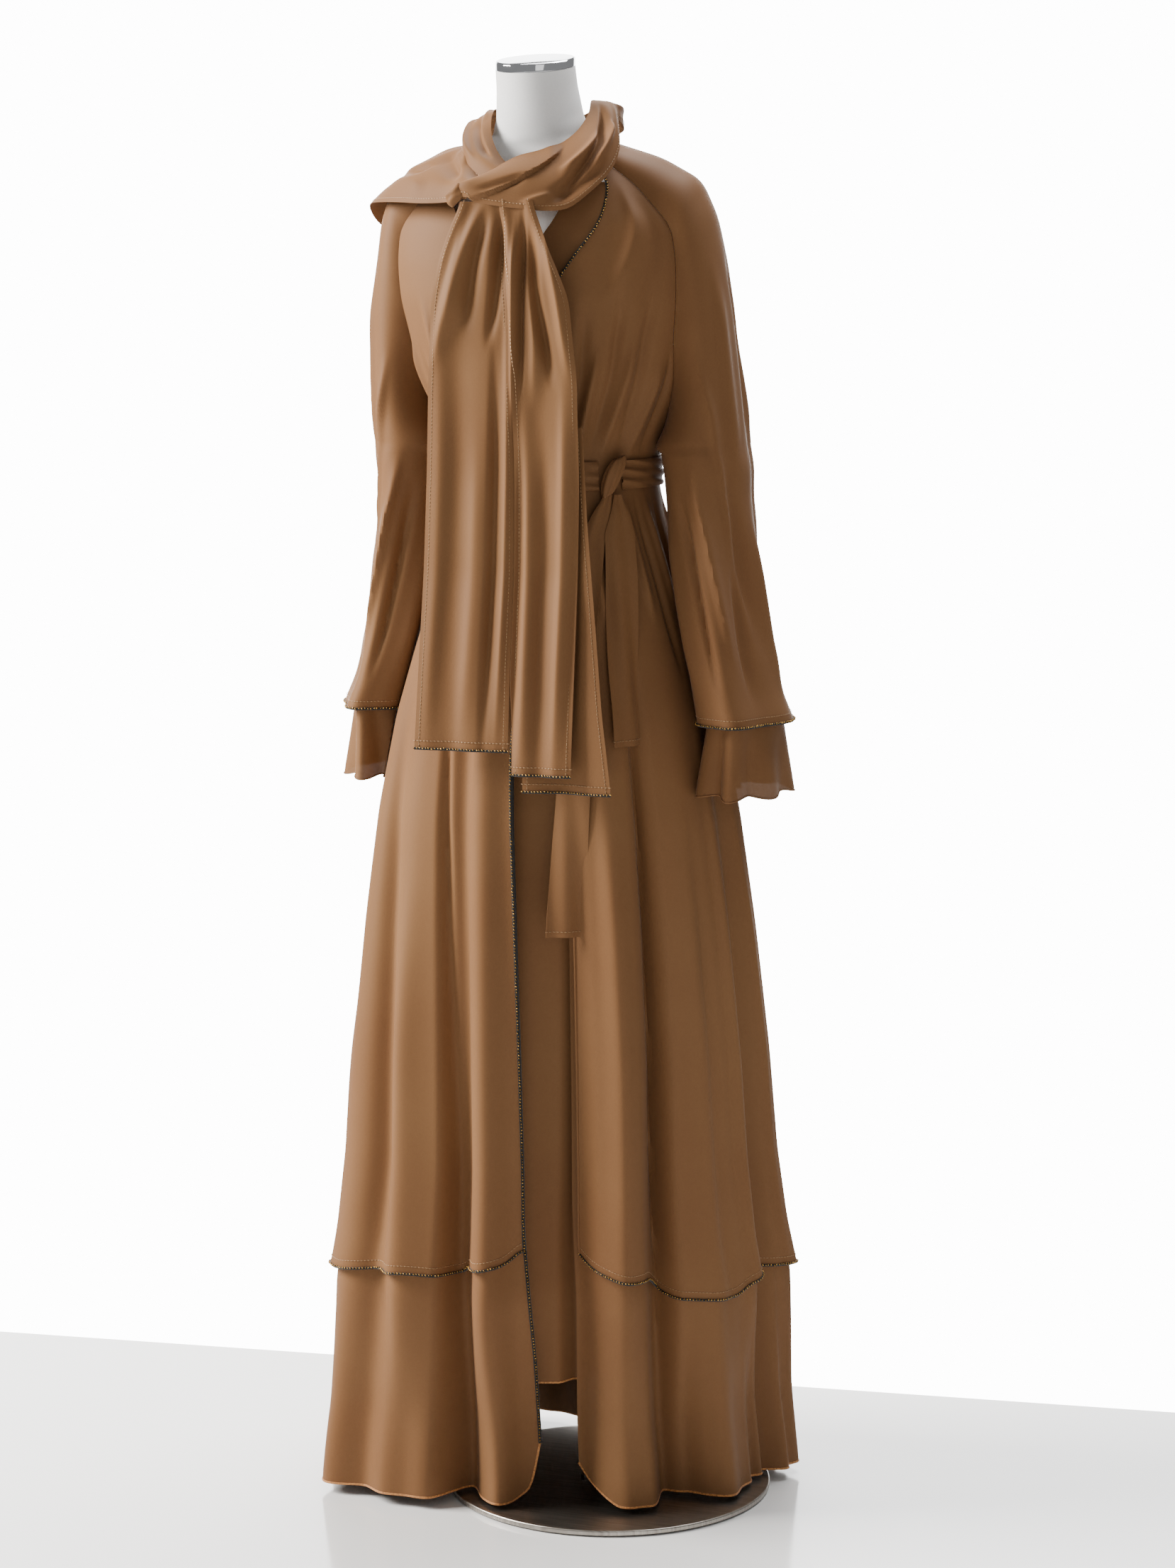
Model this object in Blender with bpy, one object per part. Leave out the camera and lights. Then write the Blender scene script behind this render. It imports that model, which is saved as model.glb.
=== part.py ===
import math

import bpy
import numpy as np

for thing in list(bpy.data.objects):
    bpy.data.objects.remove(thing)

# The frame: origin under the middle of the base plate, +Z up, -Y the form's front, +X the wearer's left.
# An angle round the body is 0 at the front and grows towards the wearer's left. Lengths are in metres.

# Driving dimensions
PLATE_RADIUS = 0.175
PLATE_THICK = 0.006
POLE_RADIUS = 0.0105
POLE_LEAN = (-0.0590, 0.0274)
FORM_BOTTOM = 0.80
WAIST_HEIGHT = 1.10
UNDERARM_HEIGHT = 1.125
CUFF_HEIGHT = 0.843
CLOTH = 0.0015
WOUND_CLOTH = 0.0022
SEAM_GAP = 0.0005
SEAT_GAP = 0.0006
LAYER_GAP = 0.009
PANEL_DROP = 0.0120
LAP = 0.0060
SLEEVE_CLEARANCE = 0.003
INNER_TOP = 1.02
BELT_HEIGHT = 1.098
BELT_WIDTH = 0.030

# Sections of the outer layer: height, half width, half depth, turn about the upright in degrees
SECTIONS = np.array([
    (1.460, 0.070, 0.060, 0.0),
    (1.433, 0.085, 0.070, 0.0),
    (1.400, 0.135, 0.085, 0.0),
    (1.355, 0.172, 0.100, 0.0),
    (1.320, 0.175, 0.108, 0.0),
    (1.282, 0.172, 0.112, 0.0),
    (1.240, 0.160, 0.112, 0.0),
    (1.200, 0.150, 0.108, 0.0),
    (1.160, 0.130, 0.102, 0.0),
    (1.125, 0.110, 0.095, 0.0),
    (1.100, 0.104, 0.091, 0.0),
    (1.060, 0.111, 0.097, 0.5),
    (1.000, 0.130, 0.110, 1.0),
    (0.930, 0.150, 0.124, 2.0),
    (0.840, 0.174, 0.136, 4.0),
    (0.740, 0.192, 0.144, 6.0),
    (0.620, 0.206, 0.150, 9.0),
    (0.480, 0.219, 0.155, 12.0),
    (0.370, 0.226, 0.160, 14.0),
    (0.290, 0.236, 0.165, 15.0),
    (0.235, 0.247, 0.171, 16.0),
    (0.100, 0.249, 0.160, 16.0),
    (0.008, 0.258, 0.165, 17.0),
])

# Folds of the skirt: angle at the hips, angle at the hem, half width in degrees, height (valleys below 0)
FOLDS = np.array([
    (-85, -75, 32, 0.006),
    (-96, -93, 9, -0.010),
    (-74, -62, 17, 0.018),
    (-45, -40, 14, 0.012),
    (-20, -22, 8, -0.026),
    (-11, -12, 8, 0.018),
    (9, 4, 13, -0.012),
    (20, 11, 7, -0.024),
    (36, 22, 9, 0.018),
    (46, 33, 8, -0.013),
    (60, 52, 14, 0.009),
    (76, 73, 8, -0.017),
    (88, 86, 8, 0.012),
    (103, 104, 9, -0.014),
    (120, 121, 9, 0.019),
    (138, 139, 10, -0.016),
    (156, 157, 9, 0.014),
    (171, 174, 9, -0.018),
    (189, 192, 10, 0.017),
    (206, 207, 8, -0.013),
    (221, 224, 9, 0.016),
    (237, 239, 8, -0.015),
    (252, 253, 8, 0.011),
])
FOLD_TOP = 1.02
FOLD_FULL = 0.26

# Extra waves of the inner hem below the outer one: angle, half width in degrees, height
HEM_WAVES = np.array([
    (-66, 10, 0.012),
    (-48, 8, 0.009),
    (-33, 7, 0.008),
    (-20, 9, -0.028),
    (-7, 8, -0.014),
    (24, 6, 0.016),
    (34, 5, -0.012),
    (44, 7, 0.010),
    (61, 6, -0.014),
    (75, 7, 0.010),
    (120, 8, 0.012),
    (147, 9, 0.010),
    (166, 7, -0.008),
    (200, 8, 0.010),
    (231, 8, 0.008),
])

# Height of the outer hem round the body: angle, height
OUTER_HEM = np.array([
    (-90, 0.240),
    (-62, 0.254),
    (-40, 0.262),
    (-22, 0.268),
    (-9, 0.264),
    (-4, 0.285),
    (-2, 0.296),
    (9, 0.298),
    (13, 0.276),
    (17, 0.264),
    (24, 0.260),
    (33, 0.250),
    (38, 0.232),
    (55, 0.228),
    (72, 0.240),
    (90, 0.238),
    (180, 0.246),
    (270, 0.240),
])

# Height of the inner hem: angle, height
INNER_HEM = np.array([
    (-90, 0.0105),
    (-11, 0.0115),
    (-7, 0.022),
    (-3, 0.100),
    (8, 0.0300),
    (14, 0.0130),
    (90, 0.0115),
    (180, 0.0115),
    (270, 0.0105),
])

# Heights of the rows that the bodice and the sleeve heads share along the raglan seam,
# with the seam's angle on the front
RAGLAN = np.array([
    (1.433, 49.0),
    (1.400, 55.0),
    (1.355, 60.0),
    (1.320, 61.0),
    (1.282, 62.0),
    (1.240, 65.0),
    (1.200, 70.0),
    (1.160, 78.0),
    (1.125, 89.0),
])

# Rows below the underarm, as fractions of the way to the hem
SKIRT_ROWS = (0.0285, 0.08, 0.20, 0.32, 0.46, 0.60, 0.75, 0.89, 1.0)

# Front edges of the outer layer: height, right edge angle, left edge angle
FRONT_EDGES = np.array([
    (1.433, -46.0, 46.0),
    (1.400, -38.0, 42.0),
    (1.355, -22.0, 30.0),
    (1.300, -9.0, 16.0),
    (1.240, 1.0, 6.0),
    (1.180, 9.0, -3.0),
    (1.100, 7.0, -5.0),
    (1.030, 4.0, 8.0),
    (0.950, -1.0, 18.0),
    (0.800, -2.2, 20.0),
    (0.500, -2.0, 14.0),
    (0.300, -2.0, 10.0),
    (0.000, -3.0, 9.0),
])


def lookup(table, place, column):
    """A column of a table at the given places, whichever way its first column runs."""
    order = np.argsort(table[:, 0])
    return np.interp(place, table[order, 0], table[order, column])


def smooth(share):
    share = np.clip(share, 0.0, 1.0)
    return share * share * (3.0 - 2.0 * share)


def centre_line(z):
    """The middle of the body: on the leaning pole's line above the waist, hanging straight below it."""
    held = np.maximum(z, WAIST_HEIGHT)
    return POLE_LEAN[0] * held, POLE_LEAN[1] * held


def bump(away, half_width):
    share = np.clip(np.abs(away) / half_width, 0.0, 1.0)
    return 0.5 + 0.5 * np.cos(math.pi * share)


def turn_between(a, b):
    return (a - b + 180.0) % 360.0 - 180.0


def fold_height(angle, z):
    """How far the skirt's folds stand out from its plain section."""
    grown = np.clip((FOLD_TOP - z) / (FOLD_TOP - FOLD_FULL), 0.0, 1.1)
    total = np.zeros(np.broadcast(angle, z).shape)
    for at_hip, at_hem, half_width, height in FOLDS:
        place = at_hip + (at_hem - at_hip) * np.clip(grown, 0.0, 1.0)
        total = total + height * grown * bump(turn_between(angle, place), half_width)
    return total


def wave_height(angle, z):
    """The inner hem's own waves, below the outer hem."""
    grown = smooth((0.24 - z) / 0.22)
    total = np.zeros(np.broadcast(angle, z).shape)
    for place, half_width, height in HEM_WAVES:
        total = total + height * grown * bump(turn_between(angle, place), half_width)
    return total


def body_point(angle, z, outward=0.0, waves=0.0):
    """Points of the garment's surface at angles in degrees and heights, moved outward."""
    angle, z = np.broadcast_arrays(np.asarray(angle, float), np.asarray(z, float))
    wide = lookup(SECTIONS, z, 1)
    deep = lookup(SECTIONS, z, 2)
    turn = np.radians(lookup(SECTIONS, z, 3))
    t = np.radians(angle)
    away = outward + fold_height(angle, z) + waves * wave_height(angle, z)
    slope = np.hypot(np.sin(t) / wide, np.cos(t) / deep)
    x = wide * np.sin(t) + away * np.sin(t) / wide / slope
    y = -deep * np.cos(t) - away * np.cos(t) / deep / slope
    middle_x, middle_y = centre_line(z)
    return np.stack([
        middle_x + x * np.cos(turn) - y * np.sin(turn),
        middle_y + x * np.sin(turn) + y * np.cos(turn),
        z,
    ], axis=-1)


def unit(vectors):
    return vectors / np.linalg.norm(vectors, axis=-1, keepdims=True)


def grid_normals(grid):
    """Outward directions of a grid whose rows run down and whose columns run with the angle."""
    return unit(np.cross(np.gradient(grid, axis=0), np.gradient(grid, axis=1)))


def finish(colour, roughness, metallic=0.0):
    material = bpy.data.materials.new("finish")
    material.use_nodes = True
    shader = material.node_tree.nodes["Principled BSDF"]
    shader.inputs["Base Color"].default_value = (*colour, 1.0)
    shader.inputs["Roughness"].default_value = roughness
    shader.inputs["Metallic"].default_value = metallic
    return material


def make_object(name, points, faces, material):
    mesh = bpy.data.meshes.new(name)
    mesh.from_pydata([tuple(point) for point in points], [], faces)
    mesh.materials.append(material)
    mesh.shade_smooth()
    mesh.set_sharp_from_angle(angle=math.radians(40))
    thing = bpy.data.objects.new(name, mesh)
    bpy.context.scene.collection.objects.link(thing)
    return thing


def cloth_wall(name, outer, material, thick=CLOTH, normals=None):
    """A sheet of cloth as one closed wall: the outer grid, an inner grid behind it and a rim all round."""
    rows, columns = outer.shape[:2]
    inward = grid_normals(outer) if normals is None else normals
    inner = outer - inward * thick
    count = rows * columns

    def at(row, column, side=0):
        return side * count + row * columns + column

    faces = []
    for i in range(rows - 1):
        for j in range(columns - 1):
            faces.append((at(i, j), at(i + 1, j), at(i + 1, j + 1), at(i, j + 1)))
            faces.append((at(i, j, 1), at(i, j + 1, 1), at(i + 1, j + 1, 1), at(i + 1, j, 1)))
    last = rows - 1
    for j in range(columns - 1):
        faces.append((at(0, j), at(0, j + 1), at(0, j + 1, 1), at(0, j, 1)))
        faces.append((at(last, j + 1), at(last, j), at(last, j, 1), at(last, j + 1, 1)))
    end = columns - 1
    for i in range(rows - 1):
        faces.append((at(i + 1, 0), at(i, 0), at(i, 0, 1), at(i + 1, 0, 1)))
        faces.append((at(i, end), at(i + 1, end), at(i + 1, end, 1), at(i, end, 1)))
    points = np.concatenate([outer.reshape(-1, 3), inner.reshape(-1, 3)])
    return make_object(name, points, faces, material)


def lofted(name, rings, material):
    """A closed solid through rings of points, from the top one down, with flat ends."""
    rings = np.asarray(rings)
    levels, around = rings.shape[:2]
    faces = [tuple(range(around))]
    for i in range(levels - 1):
        for j in range(around):
            k = (j + 1) % around
            faces.append((i * around + j, (i + 1) * around + j, (i + 1) * around + k, i * around + k))
    faces.append(tuple((levels - 1) * around + j for j in reversed(range(around))))
    return make_object(name, rings.reshape(-1, 3), faces, material)


def level_ring(x, y, z, half_width, half_depth, sides, tilt=0.0):
    """A level oval of points, or one that drops towards the front where tilt is given."""
    t = 2.0 * math.pi * np.arange(sides) / sides
    across = half_width * np.sin(t)
    along = -half_depth * np.cos(t)
    return np.stack([x + across, y + along, z + along * tilt], axis=-1)


CLOTH_FINISH = finish((0.50, 0.29, 0.14), 0.55)
SHEER_FINISH = finish((0.46, 0.26, 0.12), 0.55)
FORM_FINISH = finish((0.82, 0.82, 0.81), 0.85)
STEEL_FINISH = finish((0.42, 0.38, 0.33), 0.35, 1.0)
CHROME_FINISH = finish((0.80, 0.80, 0.82), 0.08, 1.0)


# The stand and the form
def build_stand():
    sides = 48
    edge = 0.0015
    rings = [
        level_ring(0, 0, PLATE_THICK, PLATE_RADIUS - edge, PLATE_RADIUS - edge, sides),
        level_ring(0, 0, PLATE_THICK - edge, PLATE_RADIUS, PLATE_RADIUS, sides),
        level_ring(0, 0, 0, PLATE_RADIUS, PLATE_RADIUS, sides),
    ]
    lofted("base_plate", rings, STEEL_FINISH)
    low = PLATE_THICK + 0.0003
    profile = ((0.045, 0.0145), (0.016, 0.0155), (0.012, 0.0235), (low, 0.0240))
    rings = [level_ring(0, 0, z, radius, radius, 24) for z, radius in profile]
    rings[0][:, 0] += POLE_LEAN[0] * profile[0][0]
    rings[0][:, 1] += POLE_LEAN[1] * profile[0][0]
    lofted("stand_flange", rings, STEEL_FINISH)
    for number in range(4):
        turn = math.radians(45 + 90 * number)
        x = 0.0295 * math.sin(turn)
        y = -0.0295 * math.cos(turn)
        rings = [level_ring(x, y, z, 0.0048, 0.0048, 6) for z in (0.0125, low)]
        lofted(f"flange_nut_{number + 1}", rings, STEEL_FINISH)
    rings = []
    for z in (FORM_BOTTOM - 0.0003, profile[0][0] + 0.0003):
        x = POLE_LEAN[0] * z
        y = POLE_LEAN[1] * z
        rings.append(level_ring(x, y, z, POLE_RADIUS, POLE_RADIUS, 20))
    lofted("stand_pole", rings, STEEL_FINISH)


# The form's sections: height, half width, half depth, shift to the front
FORM_SECTIONS = (
    (1.5200, 0.0418, 0.0418, 0.0200),
    (1.5000, 0.0425, 0.0425, 0.0175),
    (1.4700, 0.0460, 0.0450, 0.0125),
    (1.4480, 0.0540, 0.0470, 0.0070),
    (1.4390, 0.0795, 0.0480, 0.0030),
    (1.4251, 0.1255, 0.0520, 0.0000),
    (1.4025, 0.1655, 0.0610, 0.0000),
    (1.3676, 0.1800, 0.0720, 0.0000),
    (1.3200, 0.1600, 0.1059, 0.0000),
    (1.2820, 0.1520, 0.1098, 0.0000),
    (1.2400, 0.1300, 0.1098, 0.0000),
    (1.2000, 0.1150, 0.1050, 0.0000),
    (1.1600, 0.1040, 0.0990, 0.0000),
    (1.1000, 0.0985, 0.0888, 0.0000),
    (1.0400, 0.1040, 0.0900, 0.0000),
    (0.9600, 0.1160, 0.0950, 0.0000),
    (0.8800, 0.1280, 0.1020, 0.0000),
    (0.8150, 0.1260, 0.0990, 0.0000),
    (FORM_BOTTOM, 0.1180, 0.0920, 0.0000),
)
NECK_TILT = 0.19


def build_form():
    rings = []
    for z, wide, deep, forward in FORM_SECTIONS:
        x, y = centre_line(z)
        tilt = NECK_TILT * smooth((z - 1.43) / 0.06)
        rings.append(level_ring(x, y - forward, z, wide, deep, 24, tilt))
    lofted("form_body", rings, FORM_FINISH)
    top, wide, deep, forward = FORM_SECTIONS[0]
    x, y = centre_line(top)
    rings = []
    for rise, radius in ((0.0092, 0.0402), (0.0082, 0.0418), (0.0004, 0.0418)):
        rings.append(level_ring(x, y - forward, top + rise, radius, radius, 36, NECK_TILT))
    lofted("neck_cap", rings, CHROME_FINISH)


# The outer layer
def seam_angle(z, side):
    """The angle where a front piece meets the sleeve, or the back piece below the underarm."""
    front = np.where(z > UNDERARM_HEIGHT, lookup(RAGLAN, z, 1), 89.85)
    return side * front


def outer_rows(angles_at):
    """The rows of an outer piece: the raglan levels, then down to its own hem."""
    rows = []
    for z, _ in RAGLAN:
        angles = angles_at(z)
        rows.append((angles, np.full(len(angles), z)))
    for share in SKIRT_ROWS:
        angles = angles_at(0.6)
        hem = lookup(OUTER_HEM, angles, 1)
        z = UNDERARM_HEIGHT + (hem - UNDERARM_HEIGHT) * share
        angles = np.array([angles_at(height)[index] for index, height in enumerate(z)])
        hem = lookup(OUTER_HEM, angles, 1)
        z = UNDERARM_HEIGHT + (hem - UNDERARM_HEIGHT) * share
        rows.append((angles, z))
    return rows


def front_angles(side, columns, inset=0.0):
    """Angles across a front piece at a height, from its front edge to its side seam, as the angle grows."""
    def at(z):
        edge = lookup(FRONT_EDGES, z, 2 if side > 0 else 1) + side * inset
        seam = seam_angle(z, side)
        low, high = (edge, seam) if side > 0 else (seam, edge)
        return low + (high - low) * np.linspace(0.0, 1.0, columns)
    return at


def back_angles(columns):
    def at(z):
        seam = seam_angle(z, 1)
        return np.linspace(180.0 - seam, 180.0 + seam, columns)
    return at


def seam_normals(normals, grid, column, angles):
    """Gives a seam column the plain section's own outward direction, which its neighbour shares."""
    for row, angle in enumerate(angles):
        z = grid[row, column, 2]
        normals[row, column] = section_normal(angle, z)


def section_normal(angle, z):
    near = body_point(angle + np.array([-0.5, 0.5]), z)
    across = near[1] - near[0]
    return unit(np.array([across[1], -across[0], 0.0]))


def lap_lift(angle, z):
    """The left front lies over the right one above the belt."""
    above = smooth((z - 1.02) / 0.06)
    return LAP * above * smooth((34.0 - angle) / 14.0)


def outer_piece(name, angles_at, lapped=False):
    grid = []
    edges = []
    for angles, z in outer_rows(angles_at):
        lift = lap_lift(angles, z) if lapped else 0.0
        grid.append(body_point(angles, z, lift))
        edges.append((angles[0], angles[-1]))
    grid = np.array(grid)
    normals = grid_normals(grid)
    edges = np.array(edges)
    if not lapped and "front" in name:
        seam_normals(normals, grid, 0, edges[:, 0])
    elif lapped:
        seam_normals(normals, grid, -1, edges[:, 1])
    else:
        seam_normals(normals, grid, 0, edges[:, 0])
        seam_normals(normals, grid, -1, edges[:, 1])
    return cloth_wall(name, grid, CLOTH_FINISH, CLOTH, normals)


def build_outer():
    outer_piece("outer_front_right", front_angles(-1, 22))
    outer_piece("outer_front_left", front_angles(1, 22), lapped=True)
    outer_piece("outer_back", back_angles(34))


# The panel between the front edges
UNDERLAP_ROWS = (0.90, 0.84, 0.75, 0.64, 0.50, 0.36, 0.24, 0.135)

# The facing that shows inside the left edge of the neckline: height, right edge angle, left edge angle
FACING_ROWS = (
    (1.400, 23.0, 41.2),
    (1.355, 11.0, 29.0),
    (1.320, 2.0, 19.8),
    (1.282, -5.0, 11.8),
)


def build_facing():
    grid = []
    for z, right, left in FACING_ROWS:
        angles = np.linspace(right, left, 8)
        grid.append(body_point(angles, np.full(8, z)))
    cloth_wall("neck_facing", np.array(grid), CLOTH_FINISH)


def build_underlap():
    grid = []
    for z in UNDERLAP_ROWS:
        right = lookup(FRONT_EDGES, z, 1) - 6.0
        left = lookup(FRONT_EDGES, z, 2) + 5.0
        angles = np.linspace(right, left, 10)
        depth = LAYER_GAP + CLOTH + 2.0 * SEAT_GAP + PANEL_DROP * smooth((UNDERLAP_ROWS[0] - z) / 0.14)
        grid.append(body_point(angles, np.full(10, z), -depth, 1.0))
    cloth_wall("underlap_panel", np.array(grid), CLOTH_FINISH)


# The inner skirt layer
INNER_ROWS = (0.0, 0.13, 0.32, 0.56, 0.77, 0.89, 1.0)


def inner_piece(name, angles_at, columns):
    share_across = np.linspace(0.0, 1.0, columns)
    grid = []
    for share in INNER_ROWS:
        low, high = angles_at(INNER_TOP * (1.0 - share))
        angles = low + (high - low) * share_across
        hem = lookup(INNER_HEM, angles, 1)
        z = INNER_TOP + (hem - INNER_TOP) * share
        depth = CLOTH + 2.7 * SEAT_GAP if share == 0.0 else LAYER_GAP
        grid.append(body_point(angles, z, -depth, 1.0))
    cloth_wall(name, np.array(grid), SHEER_FINISH)


def build_inner():
    inner_piece("inner_front_right", lambda z: (-89.85, lookup(FRONT_EDGES, z, 1) - 0.4), 22)
    inner_piece("inner_front_left", lambda z: (lookup(FRONT_EDGES, z, 2) - 1.5, 89.85), 20)
    inner_piece("inner_back", lambda z: (90.15, 269.85), 34)


# The sleeves: height at the seam, height outside, middle, half width, half depth, half sweep in degrees
SLEEVE_HEAD = np.array([
    (1.433, 1.441, 0.0640, 0.0180, 0.046, 90.0),
    (1.400, 1.427, 0.1050, 0.0220, 0.050, 90.0),
    (1.355, 1.404, 0.1430, 0.0250, 0.052, 92.0),
    (1.320, 1.368, 0.1510, 0.0320, 0.055, 95.0),
    (1.282, 1.322, 0.1550, 0.0360, 0.058, 100.0),
    (1.240, 1.270, 0.1570, 0.0400, 0.060, 112.0),
    (1.200, 1.212, 0.1590, 0.0410, 0.060, 128.0),
    (1.160, 1.165, 0.1610, 0.0410, 0.061, 150.0),
    (1.125, 1.125, 0.1620, 0.0420, 0.062, 178.0),
])

# Below the underarm: height, middle, half width, half depth
SLEEVE_TUBE = np.array([
    (1.110, 0.1650, 0.0420, 0.063),
    (1.075, 0.1690, 0.0390, 0.065),
    (1.000, 0.1830, 0.0360, 0.069),
    (0.925, 0.1990, 0.0350, 0.074),
    (0.875, 0.2110, 0.0370, 0.080),
    (CUFF_HEIGHT, 0.2210, 0.0410, 0.086),
])
SLEEVE_COLUMNS = 19


def sleeve_shift(z, side):
    """How far a sleeve swings out and forward from the table's place below the shoulder."""
    down = smooth((1.20 - z) / 0.34)
    if side > 0:
        return -0.007 * down, -0.022 * down
    return -0.012 * down, 0.022 * down


def sleeve_fold(sweep, z):
    """Long soft folds down the sleeve."""
    down = smooth((1.30 - z) / 0.40)
    wave = 0.0040 * np.sin(np.radians(2.0 * sweep + 40.0)) + 0.0035 * np.cos(np.radians(5.0 * sweep))
    return down * wave


def sleeve_oval(sweep, z, middle, wide, deep, side, shrink=0.0):
    """Points round a sleeve: sweep is 0 outside, -90 in front and 90 behind."""
    out, forward = sleeve_shift(z, side)
    s = np.radians(sweep)
    fold = sleeve_fold(sweep, z) - shrink
    x = middle + out + (wide + fold) * np.cos(s)
    y = forward + (deep + fold) * np.sin(s)
    middle_x, middle_y = centre_line(z)
    return np.stack([middle_x + side * x, middle_y + y, z + 0.0 * s], axis=-1)


def kept_clear(points, clearance):
    """Points that would come nearer the skirt than the clearance are moved out to it."""
    z = points[..., 2]
    middle_x, middle_y = centre_line(z)
    away_x = points[..., 0] - middle_x
    away_y = points[..., 1] - middle_y
    turn = np.radians(lookup(SECTIONS, z, 3))
    across = away_x * np.cos(turn) + away_y * np.sin(turn)
    along = away_y * np.cos(turn) - away_x * np.sin(turn)
    angle = np.degrees(np.arctan2(across / lookup(SECTIONS, z, 1), -along / lookup(SECTIONS, z, 2)))
    limit = body_point(angle, z, clearance)
    reach = np.hypot(limit[..., 0] - middle_x, limit[..., 1] - middle_y)
    grow = np.maximum(1.0, reach / np.hypot(away_x, away_y))
    return np.stack([middle_x + away_x * grow, middle_y + away_y * grow, z], axis=-1)


def raglan_point(z, side, back):
    """Where a sleeve's edge lies beside the bodice, just past the seam."""
    if z <= UNDERARM_HEIGHT:
        place = body_point(side * (90.3 if back else 89.7), z, SEAT_GAP)
        return place, section_normal(side * 90.0, z)
    angle = seam_angle(z, 1)
    if back:
        angle = 180.0 - angle
    place = body_point(side * angle, z)
    near = body_point(side * (angle + (-0.5 if back else 0.5)), z)
    return place + SEAM_GAP * unit(near - place), section_normal(side * angle, z)


def build_sleeve(name, side):
    grid = []
    ends = []
    for seam_z, out_z, middle, wide, deep, sweep_end in SLEEVE_HEAD:
        sweep = np.linspace(-sweep_end, sweep_end, SLEEVE_COLUMNS)
        lift = (np.cos(np.radians(sweep)) - math.cos(math.radians(sweep_end)))
        lift = lift / (1.0 - math.cos(math.radians(sweep_end)))
        z = seam_z + (out_z - seam_z) * lift
        row = sleeve_oval(sweep, z, middle, wide, deep, side)
        front, front_normal = raglan_point(seam_z, side, False)
        back, back_normal = raglan_point(seam_z, side, True)
        share = np.linspace(0.0, 1.0, SLEEVE_COLUMNS)[:, None]
        pull = 1.0 - smooth(share * 2.6)
        row = row + (front - row[0]) * pull
        pull = 1.0 - smooth((1.0 - share) * 2.6)
        row = row + (back - row[-1]) * pull
        if seam_z < UNDERARM_HEIGHT + 0.12:
            row[1:-1] = kept_clear(row[1:-1], 0.0012)
        grid.append(row)
        ends.append((front_normal, back_normal))
    for z, middle, wide, deep in SLEEVE_TUBE:
        sweep = np.linspace(-179.2, 179.2, SLEEVE_COLUMNS)
        row = sleeve_oval(sweep, z, middle, wide, deep, side)
        clearance = SLEEVE_CLEARANCE + 0.005 * smooth((z - 1.05) / 0.03)
        grid.append(kept_clear(row, clearance))
    grid = np.array(grid)
    if side < 0:
        grid = grid[:, ::-1]
    normals = grid_normals(grid)
    for row, (front_normal, back_normal) in enumerate(ends[:-1]):
        first, last = (front_normal, back_normal) if side > 0 else (back_normal, front_normal)
        normals[row, 0] = first
        normals[row, -1] = last
    for row in range(len(ends) - 1, len(grid)):
        inward = np.array([-side, 0.0, 0.0])
        normals[row, 0] = inward
        normals[row, -1] = inward
    cloth_wall(name, grid, CLOTH_FINISH, CLOTH, normals)


# The flounce inside each sleeve hem: height, half width, half depth, wave height
FLOUNCE_ROWS = (
    (0.890, 0.0364, 0.0782, 0.0000),
    (0.850, 0.0330, 0.0760, 0.0010),
    (0.810, 0.0370, 0.0760, 0.0045),
    (0.768, 0.0420, 0.0780, 0.0075),
)


def build_flounce(name, side):
    sweep = np.linspace(-179.4, 179.4, 30)
    grid = []
    for z, wide, deep, wave in FLOUNCE_ROWS:
        middle = lookup(SLEEVE_TUBE, max(z, CUFF_HEIGHT), 1)
        ripple = -wave * np.cos(np.radians(6.0 * sweep))
        drop = z - 0.3 * ripple
        inside = 0.0043 if wave == 0.0 else 0.0045
        row = sleeve_oval(sweep, drop, middle, wide, deep, side, inside - ripple)
        grid.append(kept_clear(row, SLEEVE_CLEARANCE + 0.003))
    grid = np.array(grid)
    if side < 0:
        grid = grid[:, ::-1]
    normals = grid_normals(grid)
    normals[:, 0] = (-side, 0.0, 0.0)
    normals[:, -1] = (-side, 0.0, 0.0)
    cloth_wall(name, grid, SHEER_FINISH, 0.0012, normals)


# The belt
KNOT_ANGLE = 45.0


def build_belt():
    angles = np.linspace(KNOT_ANGLE + 7.5, KNOT_ANGLE + 352.5, 44)
    turn = turn_between(angles, 0.0)
    grid = []
    for share, lift in ((0.5, 0.0006), (0.2, 0.0023), (-0.2, 0.0023), (-0.5, 0.0006)):
        z = BELT_HEIGHT + share * BELT_WIDTH + 0.003 * np.sin(np.radians(angles - 30.0))
        under = lap_lift(turn, z) * smooth((turn + 36.0) / 28.0)
        grid.append(body_point(angles, z, under + CLOTH + SEAT_GAP + lift))
    cloth_wall("belt_band", np.array(grid), CLOTH_FINISH)
    middle = body_point(KNOT_ANGLE, BELT_HEIGHT, 0.0097)
    sideways = unit(body_point(KNOT_ANGLE + 4, WAIST_HEIGHT, 0.0) - body_point(KNOT_ANGLE - 4, WAIST_HEIGHT, 0.0))
    outward = section_normal(KNOT_ANGLE, WAIST_HEIGHT)
    rings = []
    for rise, grow in ((0.017, 0.45), (0.012, 0.85), (0.0, 1.0), (-0.012, 0.9), (-0.018, 0.5)):
        t = 2.0 * math.pi * np.arange(14) / 14
        across = 0.0155 * grow * np.sin(t)
        along = 0.0085 * grow * np.cos(t)
        ring = middle + across[:, None] * sideways - along[:, None] * -outward
        ring[:, 2] += rise
        rings.append(ring)
    lofted("belt_knot", rings, CLOTH_FINISH)


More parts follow.
